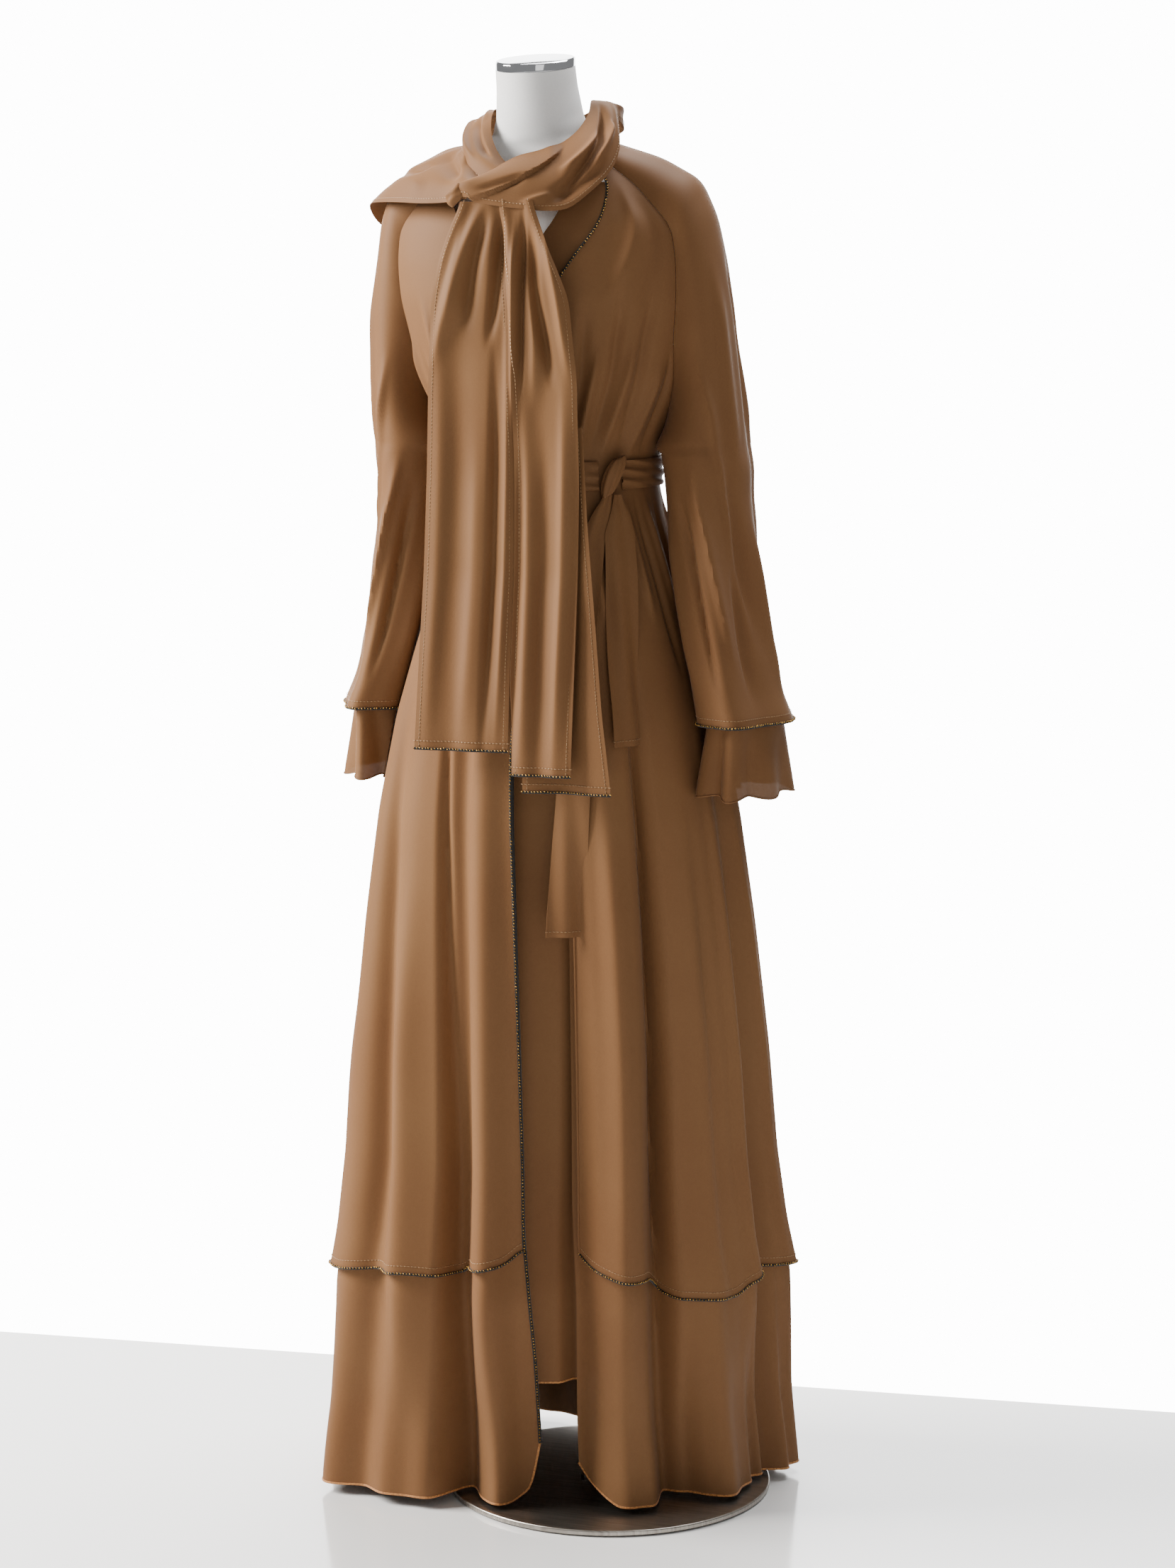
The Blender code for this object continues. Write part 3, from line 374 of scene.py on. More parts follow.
def makeKnit():
    # cotton jersey cover, white, stretched over the form: matte with fine upright ribs
    material, tree, shader = newMaterial("whiteJerseyCover", {
        "Roughness": 0.86, "IOR": 1.46, "Sheen Weight": 0.25, "Sheen Roughness": 0.6,
    })
    place = addNode(tree, "ShaderNodeTexCoord")
    ribs = addNode(tree, "ShaderNodeTexNoise", {"Scale": 1.0 / 0.0018, "Detail": 1.0},
                   [("Vector", place, "Object")])  # real ribs are 0.5 mm, drawn coarser so that they show
    ramp = addNode(tree, "ShaderNodeValToRGB", {}, [("Fac", ribs, "Fac")])
    setStops(ramp, (0.0, "#F0F0EF"), (1.0, "#FBFBFA"))
    tree.links.new(ramp.outputs["Color"], shader.inputs["Base Color"])
    raised = addNode(tree, "ShaderNodeBump", {"Strength": 0.15, "Distance": 0.0003}, [("Height", ribs, "Fac")])
    tree.links.new(raised.outputs["Normal"], shader.inputs["Normal"])
    return material


def makeMetal(name, paintedGlintHex, darkHex, roughness, brushLength, brushWidth):
    # steel brushed one way on a belt, or polished and plated: long scratches stretch each highlight
    material, tree, shader = newMaterial(name, {"Metallic": 1.0})
    place = addNode(tree, "ShaderNodeTexCoord")
    turned = addNode(tree, "ShaderNodeMapping", {"Rotation": (0.0, 0.0, math.radians(38.0)),
                     "Scale": (1.0 / brushLength, 1.0 / brushWidth, 1.0 / brushLength)},
                     [("Vector", place, "Object")])
    scratch = addNode(tree, "ShaderNodeTexNoise", {"Scale": 1.0, "Detail": 2.0}, [("Vector", turned, "Vector")])
    ramp = addNode(tree, "ShaderNodeValToRGB", {}, [("Fac", scratch, "Fac")])
    setStops(ramp, (0.3, darkHex), (0.7, paintedGlintHex))
    tree.links.new(ramp.outputs["Color"], shader.inputs["Base Color"])
    dull = addNode(tree, "ShaderNodeMapRange", {"To Min": roughness * 0.8, "To Max": roughness * 1.25},
                   [("Value", scratch, "Fac")])
    tree.links.new(dull.outputs["Result"], shader.inputs["Roughness"])
    return material


whiteJersey = makeKnit()
brushedSteel = makeMetal("brushedStainlessSteel", "#B9B4AC", "#98928A", 0.34, 0.060, 0.0012)
turnedSteel = makeMetal("turnedSteelTube", "#A9A49C", "#8A857C", 0.30, 0.004, 0.0020)
chromePlate = makeMetal("polishedChromePlate", "#E6E7EA", "#DADBDE", 0.06, 0.030, 0.0300)
print("materials made")


def addMesh(name, points, faces, material, smoothAngle=50.0):
    mesh = bpy.data.meshes.new(name)
    mesh.from_pydata(np.asarray(points, float).reshape(-1, 3).tolist(), [], faces)
    mesh.materials.append(material)
    mesh.shade_smooth()
    mesh.set_sharp_from_angle(angle=math.radians(smoothAngle))
    thing = bpy.data.objects.new(name, mesh)
    bpy.context.scene.collection.objects.link(thing)
    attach(thing, "root")
    return thing


def spunForm(name, rings, material, smoothAngle=40.0):
    # closed rings joined in order, with a flat face at each end
    rings = np.array(rings)
    levels, around = rings.shape[:2]
    index = np.arange(levels * around).reshape(levels, around)
    beside = np.roll(index, -1, axis=1)
    quads = np.stack([index[:-1], index[1:], beside[1:], beside[:-1]], axis=-1).reshape(-1, 4)
    faces = quads.tolist() + [index[0].tolist(), index[-1, ::-1].tolist()]
    return addMesh(name, rings, faces, material, smoothAngle)


def gridFaces(rows, columns, flip=False, first=0):
    index = first + np.arange(rows * columns).reshape(rows, columns)
    quads = np.stack([index[:-1, :-1], index[1:, :-1], index[1:, 1:], index[:-1, 1:]], axis=-1).reshape(-1, 4)
    if flip:
        quads = quads[:, ::-1]
    return quads.tolist()


def clothShell(name, grid, material, thick=None, normals=None):
    # one sheet of cloth as a thin closed shell: face side, back side and a rim
    thick = garment["cloth"] if thick is None else thick
    rows, columns = grid.shape[:2]
    normals = gridNormals(grid) if normals is None else normals
    back = grid - normals * thick
    count = rows * columns
    faces = gridFaces(rows, columns) + gridFaces(rows, columns, True, count)
    index = np.arange(count).reshape(rows, columns)
    loop = np.concatenate([index[0, :-1], index[:-1, -1], index[-1, :0:-1], index[:0:-1, 0]])
    ahead = np.roll(loop, -1)
    rim = np.stack([loop, ahead, ahead + count, loop + count], axis=-1)
    faces = faces + rim.tolist()
    points = np.concatenate([grid.reshape(-1, 3), back.reshape(-1, 3)])
    return addMesh(name, points, faces, material)


def tube(name, path, radius, material, sides, flatten, outward):
    # a cord along a path; flatten squeezes it along the outward directions
    along = unit(np.gradient(path, axis=0))
    outward = unit(outward - (outward * along).sum(-1, keepdims=True) * along)
    aside = np.cross(along, outward)
    t = 2.0 * math.pi * np.arange(sides) / sides
    ring = np.cos(t)[None, :, None] * outward[:, None] * flatten + np.sin(t)[None, :, None] * aside[:, None]
    points = path[:, None] + ring * radius
    count = len(path)
    index = np.arange(count * sides).reshape(count, sides)
    beside = np.roll(index, -1, axis=1)
    quads = np.stack([index[:-1], beside[:-1], beside[1:], index[1:]], axis=-1).reshape(-1, 4)
    faces = quads.tolist() + [index[0, ::-1].tolist(), index[-1].tolist()]
    return addMesh(name, points, faces, material, 60.0)


def evenPath(path, spacing, *others):
    # the same path in even steps, with other values carried along it
    run = np.concatenate([[0.0], np.cumsum(np.linalg.norm(np.diff(path, axis=0), axis=1))])
    count = max(2, int(run[-1] / spacing) + 1)
    place = np.linspace(0.0, run[-1], count)
    return [np.stack([np.interp(place, run, values[:, k]) for k in range(3)], axis=-1)
            for values in (path, *others)]


def seedShape():
    # a seed bead: a low-sided ball, a little flat at its holes
    points, faces = [], []
    rings, sides = 4, 5
    for i in range(rings + 1):
        rise = math.pi * i / rings
        for j in range(sides):
            t = 2.0 * math.pi * j / sides
            points.append((math.sin(rise) * math.cos(t), math.sin(rise) * math.sin(t), 0.8 * math.cos(rise)))
    for i in range(rings):
        for j in range(sides):
            k = (j + 1) % sides
            faces.append((i * sides + j, (i + 1) * sides + j, (i + 1) * sides + k, i * sides + k))
    return np.array(points), np.array(faces)


beads = {
    "radius": 0.00115, "smaller": -0.18, "larger": 0.12,
    "spacing": 0.0033, "inset": 0.00084, "stand": 0.0008, "jitter": 0.00022,
}


def beadRow(name, edge, inward, outward):
    # a sewn row of seed beads along an edge: inward points up the cloth, outward off its face
    shape, shapeFaces = seedShape()
    path, up, out = evenPath(edge, beads["spacing"], inward, outward)
    jitter = dice.normal(0.0, beads["jitter"], path.shape)
    size = beads["radius"] * (1.0 + dice.uniform(beads["smaller"], beads["larger"], len(path)))
    centres = path + up * beads["inset"] + out * beads["stand"] + jitter
    points = centres[:, None] + shape[None] * size[:, None, None]
    faces = shapeFaces[None] + (np.arange(len(path)) * len(shape))[:, None, None]
    return addMesh(name, points, faces.reshape(-1, 4).tolist(), goldBeads, 80.0)


stitch = {"length": 0.0026, "gap": 0.0012, "radius": 0.00032, "lift": 0.0002}


def stitchRow(name, edge, inward, outward, inset):
    # a line of machine stitches beside an edge: short threads that dip in and out of the cloth
    length, radius = stitch["length"], stitch["radius"]
    path, out = evenPath(edge + inward * inset + outward * stitch["lift"], length + stitch["gap"], outward)
    ahead = unit(np.gradient(path, axis=0))
    aside = np.cross(ahead, out)
    corners = []
    for along, side, rise in (
        (-0.5, -1, 0), (-0.5, 1, 0), (0.5, 1, 0), (0.5, -1, 0), (-0.3, 0, 1), (0.3, 0, 1),
    ):
        corners.append(path + ahead * along * length + aside * side * radius + out * rise * radius * 1.6)
    faces = [tuple(first * len(corners) + corner for corner in face) for first in range(len(path))
             for face in ((0, 1, 4), (1, 2, 5, 4), (2, 3, 5), (3, 0, 4, 5))]
    return addMesh(name, np.stack(corners, axis=1), faces, topThread, 180.0)


trim = {
    "hemStitchUp": 0.0085, "edgeStitchUp": 0.005,
    "tapeWidth": 0.0075, "tapeBehind": 0.0010, "tapeThick": 0.0003,
}


def tapeStrip(name, edge, inward, outward):
    # a woven tape sewn along an edge, just behind the cloth
    share = np.array([0.0, 0.5, 1.0])[:, None, None]
    grid = edge[None] + inward[None] * trim["tapeWidth"] * (1.0 - share) - outward[None] * trim["tapeBehind"]
    return clothShell(name, grid, blackTape, trim["tapeThick"], np.broadcast_to(outward, grid.shape))


def edgeFrame(grid, normals, side):
    # an edge of a grid with its directions up the cloth and off its face
    if side == "foot":
        edge, near, out = grid[-1], grid[-4], normals[-1]
    elif side == "low":
        edge, near, out = grid[:, 0], grid[:, 3], normals[:, 0]
    else:
        edge, near, out = grid[:, -1], grid[:, -4], normals[:, -1]
    inward = near - edge
    inward = inward - (inward * out).sum(-1, keepdims=True) * out
    return edge, unit(inward), out


# Outer layer, neck to the short beaded hem
outerLayer = {"bodiceRows": 60, "skirtRows": 110, "frontColumns": 104, "backColumns": 170}


def seamAngle(z, side):
    return side * np.where(z > garment["underarmHeight"], lookUp(garment["raglan"], z, 1, 0.008), 89.93)


def lapRise(turn, z):
    # how far the left front stands off the right one at the bodice
    return garment["lap"] * easeIn((z - 1.02) / 0.06) * easeIn((34.0 - turn) / 14.0)


def outerGrid(anglesAt, lapped):
    under = garment["underarmHeight"]
    rows = []
    for z in np.linspace(1.433, under + 0.0005, outerLayer["bodiceRows"]):
        angles = anglesAt(np.full(anglesAt.columns, z))
        rows.append((angles, np.full(len(angles), z)))
    for share in np.linspace(0.0, 1.0, outerLayer["skirtRows"])[1:]:
        z = np.full(anglesAt.columns, under + (0.25 - under) * share)
        for _ in range(3):  # the hem's height depends on the angle, and the angle on the height
            angles = anglesAt(z)
            z = under + (lookUp(garment["shortHem"], angles, 1, 1.5) - under) * share
        rows.append((angles, z))
    angles = np.array([row[0] for row in rows])
    z = np.array([row[1] for row in rows])
    lift = lapRise(angles, z) if lapped else 0.0
    beside = seamAngle(z, 1)
    seams = (beside, -beside, 180 - beside, 180 + beside)
    seam = np.min([np.abs(turnBetween(angles, place)) for place in seams], axis=0)
    calm = easeIn(seam / 5.0)  # seams stay where the neighbour's edge is
    return bodyPoint(angles, z, lift, creased=calm)


class Spread:
    # angles across a piece at any height, from its low edge to its high one
    def __init__(self, low, high, columns):
        self.low, self.high, self.columns = low, high, columns

    def __call__(self, z):
        share = np.linspace(0.0, 1.0, self.columns)
        low, high = self.low(z), self.high(z)
        return low + (high - low) * share


def frontEdge(z, side):
    return lookUp(garment["frontEdges"], z, 2 if side > 0 else 1, 0.026)


def keepPiece(node):
    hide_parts(node)


def hemTrim(key, grid, normals, side="foot", taped=True):
    # a hem turned over a black roll, with a row of beads, and with tape and topstitching where it is taped
    edge, inward, outward = edgeFrame(grid, normals, side)
    made = []
    if taped:
        made.append(tapeStrip(key + "Tape", edge, inward, outward))
    made.append(tube(key + "Roll", edge + inward * 0.0002, 0.0015, blackTape, 6, 0.9, outward))
    made.append(beadRow(key + "Beads", edge + outward * 0.0007, inward, outward))
    if taped:
        made.append(stitchRow(key + "Topstitch", edge, inward, outward, trim["hemStitchUp"]))
    return made


def beadedEdge(name, edge, inward, outward):
    # an edge turned over a black tape, one row of beads on it
    roll = tube(name + "Roll", edge + outward * 0.0002, 0.0019, blackTape, 8, 0.8, outward)
    row = beadRow(name + "Beads", edge - inward * 0.0006 + outward * 0.0013, inward, outward)
    return [roll, row]


def makeOuter():
    columns = outerLayer["frontColumns"]
    left = Spread(lambda z: frontEdge(z, 1), lambda z: seamAngle(z, 1), columns)
    right = Spread(lambda z: seamAngle(z, -1), lambda z: frontEdge(z, -1), columns)
    back = Spread(lambda z: 180.0 - seamAngle(z, 1), lambda z: 180.0 + seamAngle(z, 1),
                  outerLayer["backColumns"])
    for key, node, spread, lapped, area in (
        ("frontLeft", "outer_front_left", left, True, 0.286),
        ("frontRight", "outer_front_right", right, False, 0.286),
        ("back", "outer_back", back, False, 0.596),
    ):
        grid = outerGrid(spread, lapped)
        normals = gridNormals(grid)
        thing = clothShell(key, grid, chiffon, normals=normals)
        extras = hemTrim(key + "Hem", grid, normals)
        if key != "back":
            side = "low" if lapped else "high"
            rows = outerLayer["bodiceRows"]
            upper, upperNormals = grid[:rows + 12], normals[:rows + 12]
            if lapped:
                extras += hemTrim(key + "Neck", upper, upperNormals, side, False)
            edge, inward, outward = edgeFrame(grid[rows:], normals[rows:], side)
            if lapped:
                extras.append(tube(key + "Piping", edge, 0.0014, chiffon, 8, 1.0, outward))
            else:
                extras += beadedEdge(key + "Edge", edge, inward, outward)
        keepPiece(node)


makeOuter()
print("outer layer made")


# Plain panel between the front edges
panel = {
    "rows": 70, "columns": 40, "top": 0.90, "foot": 0.135,
    "underRight": 6.0, "underLeft": 5.0,  # how far it goes under each front edge, in degrees
    "depthTop": 0.0114, "depthMore": 0.0120,
}


def makePanel():
    z = np.linspace(panel["top"], panel["foot"], panel["rows"])[:, None]
    share = np.linspace(0.0, 1.0, panel["columns"])[None, :]
    right, left = frontEdge(z, -1) - panel["underRight"], frontEdge(z, 1) + panel["underLeft"]
    angles = right + (left - right) * share
    depth = panel["depthTop"] + panel["depthMore"] * easeIn((panel["top"] - z) / 0.14)
    z = np.broadcast_to(z, angles.shape)
    grid = bodyPoint(angles, z, -depth, 1.0, 0.4)
    normals = gridNormals(grid)
    thing = clothShell("underlapPanel", grid, chiffon, normals=normals)
    edge, _, outward = edgeFrame(grid, normals, "foot")
    overlock = tube("underlapPanelOverlock", edge, 0.0012, overlockThread, 6, 0.7, outward)
    keepPiece("underlap_panel")


makePanel()


# Facing that shows inside the left edge of the neckline
facing = {
    "rows": 34, "columns": 26,
    # height, right edge angle, left edge angle
    "edges": (
        (1.400, 23.0, 41.2), (1.355, 11.0, 29.0), (1.320, 2.0, 19.8), (1.282, -5.0, 11.8),
    ),
}


def makeFacing():
    z = np.linspace(facing["edges"][0][0], facing["edges"][-1][0], facing["rows"])[:, None]
    share = np.linspace(0.0, 1.0, facing["columns"])[None, :]
    right, left = lookUp(facing["edges"], z, 1), lookUp(facing["edges"], z, 2)
    angles = right + (left - right) * share
    grid = bodyPoint(angles, np.broadcast_to(z, angles.shape), 0.0, creased=0.5)
    thing = clothShell("neckFacing", grid, chiffon)
    keepPiece("neck_facing")


makeFacing()


# Inner skirt layer with overlocked hems
innerLayer = {
    "top": 1.02, "topDepth": 0.0030, "beadedFrom": 0.16,
    "rows": 90, "frontColumns": 112, "backColumns": 170,
}


def makeInner():
    for key, node, low, high, columns, area in (
        ("innerFrontRight", "inner_front_right", lambda z: -89.93 + 0 * z, lambda z: frontEdge(z, -1) - 0.4,
         innerLayer["frontColumns"], 0.307),
        ("innerFrontLeft", "inner_front_left", lambda z: frontEdge(z, 1) - 1.5, lambda z: 89.93 + 0 * z,
         innerLayer["frontColumns"], 0.309),
        ("innerBack", "inner_back", lambda z: 90.07 + 0 * z, lambda z: 269.93 + 0 * z,
         innerLayer["backColumns"], 0.611),
    ):
        share = np.linspace(0.0, 1.0, innerLayer["rows"])[:, None]
        across = np.linspace(0.0, 1.0, columns)[None, :]
        rough = innerLayer["top"] * (1.0 - share)
        angles = low(rough) + (high(rough) - low(rough)) * across
        z = innerLayer["top"] + (lookUp(garment["longHem"], angles, 1, 1.0) - innerLayer["top"]) * share
        depth = innerLayer["topDepth"] + (garment["layerGap"] - innerLayer["topDepth"]) * easeIn(share / 0.13)
        grid = bodyPoint(angles, z, -depth, 1.0, 0.8)
        normals = gridNormals(grid)
        thing = clothShell(key, grid, singleChiffon, normals=normals)
        edge, inward, outward = edgeFrame(grid, normals, "foot")
        overlock = tube(key + "Overlock", edge + inward * 0.0006, 0.0013, overlockThread, 6, 0.6, outward)
        extras = [overlock]
        if key == "innerFrontRight":
            first = int(innerLayer["rows"] * innerLayer["beadedFrom"])
            edge, inward, outward = edgeFrame(grid[first:], normals[first:], "high")
            extras += beadedEdge(key + "Edge", edge, inward, outward)
        keepPiece(node)


makeInner()
print("inner layer made")


# Raglan sleeves and their flounces
sleeve = {
    "cuffHeight": 0.843,
    "clearance": 0.003,
    "columns": 96,
    "headRows": 64,
    "tubeRows": 76,
    # height at the seam, height outside, middle, half width, half depth, half sweep in degrees
    "head": (
        (1.433, 1.441, 0.064, 0.018, 0.046, 90.0), (1.400, 1.427, 0.105, 0.022, 0.050, 90.0),
        (1.355, 1.404, 0.143, 0.025, 0.052, 92.0), (1.320, 1.368, 0.151, 0.032, 0.055, 95.0),
        (1.282, 1.322, 0.155, 0.036, 0.058, 100.0), (1.240, 1.270, 0.157, 0.04, 0.060, 112.0),
        (1.200, 1.212, 0.159, 0.041, 0.060, 128.0), (1.160, 1.165, 0.161, 0.041, 0.061, 150.0),
        (1.125, 1.125, 0.162, 0.042, 0.062, 178.0),
    ),
    # height, middle, half width, half depth
    "tube": (
        (1.125, 0.1620, 0.0420, 0.062),
        (1.110, 0.165, 0.042, 0.063), (1.075, 0.169, 0.039, 0.065), (1.000, 0.183, 0.036, 0.069),
        (0.925, 0.199, 0.035, 0.074), (0.875, 0.211, 0.037, 0.080), (0.843, 0.221, 0.041, 0.086),
    ),
    # sweep, height, sweep, height, half width in degrees, height of the fold, bow
    "creases": (
        (-80, 1.230, -30, 1.000, 10.1, 0.0074, 8), (-60, 1.180, -8, 0.900, 8.6, -0.0069, 6),
        (-95, 1.130, -52, 0.880, 9.4, 0.0069, 4), (-30, 1.330, -18, 1.080, 10.9, 0.0053, -4),
        (8, 1.340, 14, 1.120, 9.4, -0.0049, 3), (28, 1.250, 36, 0.960, 10.1, 0.0066, 5),
        (62, 1.200, 50, 0.890, 9.4, -0.0069, -5), (88, 1.170, 78, 0.870, 10.1, 0.0069, 0),
        (-118, 1.100, -88, 0.860, 9.4, -0.0066, 0), (118, 1.100, 108, 0.860, 10.1, -0.0066, 0),
        (145, 1.080, 138, 0.860, 9.4, 0.0049, 0), (-150, 1.080, -132, 0.860, 9.4, 0.0049, 0),
        (0, 1.060, 4, 0.850, 8.6, 0.0059, 3), (-34, 1.020, -36, 0.850, 7.8, -0.0059, 0),
    ),
}


def sleeveShift(z, side):
    down = easeIn((1.20 - z) / 0.34)
    return (-0.007 * down, -0.022 * down) if side > 0 else (-0.012 * down, 0.022 * down)


def sleeveOval(sweep, z, middle, wide, deep, side, shrink=0.0, creased=1.0):
    out, forward = sleeveShift(z, side)
    s = np.radians(sweep)
    down = easeIn((1.30 - z) / 0.40)
    fold = down * (0.0040 * np.sin(np.radians(2.0 * sweep + 40.0)) + 0.0035 * np.cos(np.radians(5.0 * sweep)))
    fold = fold - shrink + creased * creaseHeight(sweep, z, sleeve["creases"])
    x = middle + out + (wide + fold) * np.cos(s)
    y = forward + (deep + fold) * np.sin(s)
    middleX, middleY = middleLine(z)
    return np.stack([middleX + side * x, middleY + y, z + 0.0 * s], axis=-1)


def keptClear(points, clearance):
    # points that would come nearer the skirt than the clearance are moved out to it
    z = points[..., 2]
    middleX, middleY = middleLine(z)
    awayX, awayY = points[..., 0] - middleX, points[..., 1] - middleY
    turn = np.radians(lookUp(garment["sections"], z, 3))
    across = awayX * np.cos(turn) + awayY * np.sin(turn)
    along = awayY * np.cos(turn) - awayX * np.sin(turn)
    angle = np.degrees(np.arctan2(across / lookUp(garment["sections"], z, 1),
                                  -along / lookUp(garment["sections"], z, 2)))
    limit = bodyPoint(angle, z, clearance)
    reach = np.hypot(limit[..., 0] - middleX, limit[..., 1] - middleY)
    grow = np.maximum(1.0, reach / np.hypot(awayX, awayY))
    return np.stack([middleX + awayX * grow, middleY + awayY * grow, z], axis=-1)


def raglanPoint(z, side, back):
    # a sleeve's edge beside the bodice, just past the seam
    if z <= garment["underarmHeight"] + 0.0004:
        return bodyPoint(side * (90.3 if back else 89.7), z, 0.0006, creased=0.0)
    angle = float(seamAngle(np.float64(z), 1))
    if back:
        angle = 180.0 - angle
    place = bodyPoint(side * angle, z, creased=0.0)
    near = bodyPoint(side * (angle + (-0.5 if back else 0.5)), z, creased=0.0)
    return place + 0.0004 * unit(near - place)


def sleeveGrid(side):
    columns = sleeve["columns"]
    share = np.linspace(0.0, 1.0, columns)[:, None]
    grid = []
    head = sleeve["head"]
    for seamZ in np.linspace(head[0][0], garment["underarmHeight"], sleeve["headRows"]):
        outZ, middle, wide, deep, sweepEnd = lookUpAll(head, seamZ, 0.0 if seamZ > 1.425 else 0.010)
        sweep = np.linspace(-sweepEnd, sweepEnd, columns)
        lift = np.cos(np.radians(sweep)) - math.cos(math.radians(sweepEnd))
        lift = lift / (1.0 - math.cos(math.radians(sweepEnd)))
        z = seamZ + (outZ - seamZ) * lift
        row = sleeveOval(sweep, z, middle, wide, deep, side)
        row = row + (raglanPoint(seamZ, side, False) - row[0]) * (1.0 - easeIn(share * 2.6))
        row = row + (raglanPoint(seamZ, side, True) - row[-1]) * (1.0 - easeIn((1.0 - share) * 2.6))
        if seamZ < 1.245:
            row[1:-1] = keptClear(row[1:-1], 0.0012)
        grid.append(row)
    for z in np.linspace(garment["underarmHeight"], sleeve["cuffHeight"], sleeve["tubeRows"])[1:]:
        middle, wide, deep = lookUpAll(sleeve["tube"], z, 0.008)
        sweep = np.linspace(-179.9, 179.9, columns)
        row = sleeveOval(sweep, np.full(columns, z), middle, wide, deep, side)
        clearance = sleeve["clearance"] + 0.005 * float(easeIn((z - 1.05) / 0.03))
        grid.append(keptClear(row, clearance))
    grid = np.array(grid)
    return grid[:, ::-1] if side < 0 else grid


flounce = {
    "rows": 44,
    "columns": 170,
    # height, half width, half depth, wave height
    "table": (
        (0.890, 0.0364, 0.0782, 0.0), (0.850, 0.033, 0.076, 0.001), (0.810, 0.037, 0.076, 0.0045),
        (0.768, 0.042, 0.078, 0.0075),
    ),
    "waves": 6.0,
}


def flounceGrid(side):
    sweep = np.linspace(-179.9, 179.9, flounce["columns"])
    grid = []
    for z in np.linspace(flounce["table"][0][0], flounce["table"][-1][0], flounce["rows"]):
        wide, deep, wave = lookUpAll(flounce["table"], z, 0.008)
        middle = float(lookUp(sleeve["tube"], max(z, sleeve["cuffHeight"]), 1))
        ripple = -wave * np.cos(np.radians(flounce["waves"] * sweep + 14.0 * np.sin(np.radians(2.0 * sweep))))
        drop = z - 0.3 * ripple * float(easeIn((0.85 - z) / 0.08))
        row = sleeveOval(sweep, drop, middle, wide, deep, side, 0.0043 - ripple, 0.35)
        grid.append(keptClear(row, sleeve["clearance"] + 0.003))
    grid = np.array(grid)
    return grid[:, ::-1] if side < 0 else grid


def closedNormals(grid):
    # a tube's normals agree where its two ends meet
    normals = gridNormals(grid)
    normals[:, 0] = normals[:, 1]
    normals[:, -1] = normals[:, -2]
    return normals


def makeSleeves():
    for key, side, number in (("Right", -1, "right"), ("Left", 1, "left")):
        grid = sleeveGrid(side)
        normals = closedNormals(grid)
        thing = clothShell("sleeve" + key, grid, chiffon, normals=normals)
        extras = hemTrim("sleeve" + key + "Hem", grid, normals)
        keepPiece("sleeve_" + number)
        grid = flounceGrid(side)
        normals = closedNormals(grid)
        thing = clothShell("flounce" + key, grid, sheerChiffon, 0.0004, normals)
        edge, _, outward = edgeFrame(grid, normals, "foot")
        roll = tube("flounce" + key + "Roll", edge, 0.0009, chiffon, 6, 1.0, outward)
        keepPiece("flounce_" + number)


makeSleeves()
print("sleeves made")


# Belt with its knot and tails
belt = {
    "height": 1.098, "width": 0.030, "cloth": 0.0009, "knotAngle": 45.0, "knotGap": 7.5,
    "columns": 260, "rows": 22, "tailColumns": 18, "tailRows": 80, "tailStitchUp": 0.006,
    # the knot: its upper end's height over the belt, half width, how much narrower below, half depth
    "knotRings": 40, "knotSides": 56, "knotTop": 0.0190, "knotLength": 0.0385,
    "knotWide": 0.0125, "knotNarrower": 0.0030, "knotDeep": 0.0072,
    # height, middle angle, half width, distance off the skirt
    "frontTail": (
        (1.0794, 47.5, 0.0045, 0.0097), (1.060, 47.0, 0.011, 0.012), (1.040, 45.0, 0.0165, 0.011),
        (0.970, 41.0, 0.0175, 0.0085), (0.890, 36.5, 0.018, 0.008), (0.822, 33.5, 0.0185, 0.008),
    ),
    "sideTail": (
        (1.0794, 42.0, 0.0045, 0.0089), (1.060, 37.0, 0.010, 0.0095), (1.030, 30.0, 0.014, 0.008),
        (0.950, 22.0, 0.017, 0.007), (0.850, 17.0, 0.018, 0.007), (0.730, 12.0, 0.019, 0.007),
        (0.622, 8.0, 0.020, 0.007),
    ),
}


def tailGrid(table):
    grid = []
    share = np.linspace(-1.0, 1.0, belt["tailColumns"])
    for z in np.linspace(table[0][0], table[-1][0], belt["tailRows"]):
        angle, halfWidth, away = lookUpAll(table, z, 0.004)
        place = bodyPoint(angle, z, away, creased=0.0)
        beside = bodyPoint(np.array([angle - 3.0, angle + 3.0]), z, away, creased=0.0)
        direction = unit(beside[1] - beside[0])
        out = plainNormal(angle, z)
        roll = 0.0012 * np.cos(share * math.pi) + 0.0012 * np.sin(share * 4.4 + z * 22.0)
        grid.append(place + share[:, None] * halfWidth * direction + roll[:, None] * out)
    return np.array(grid)


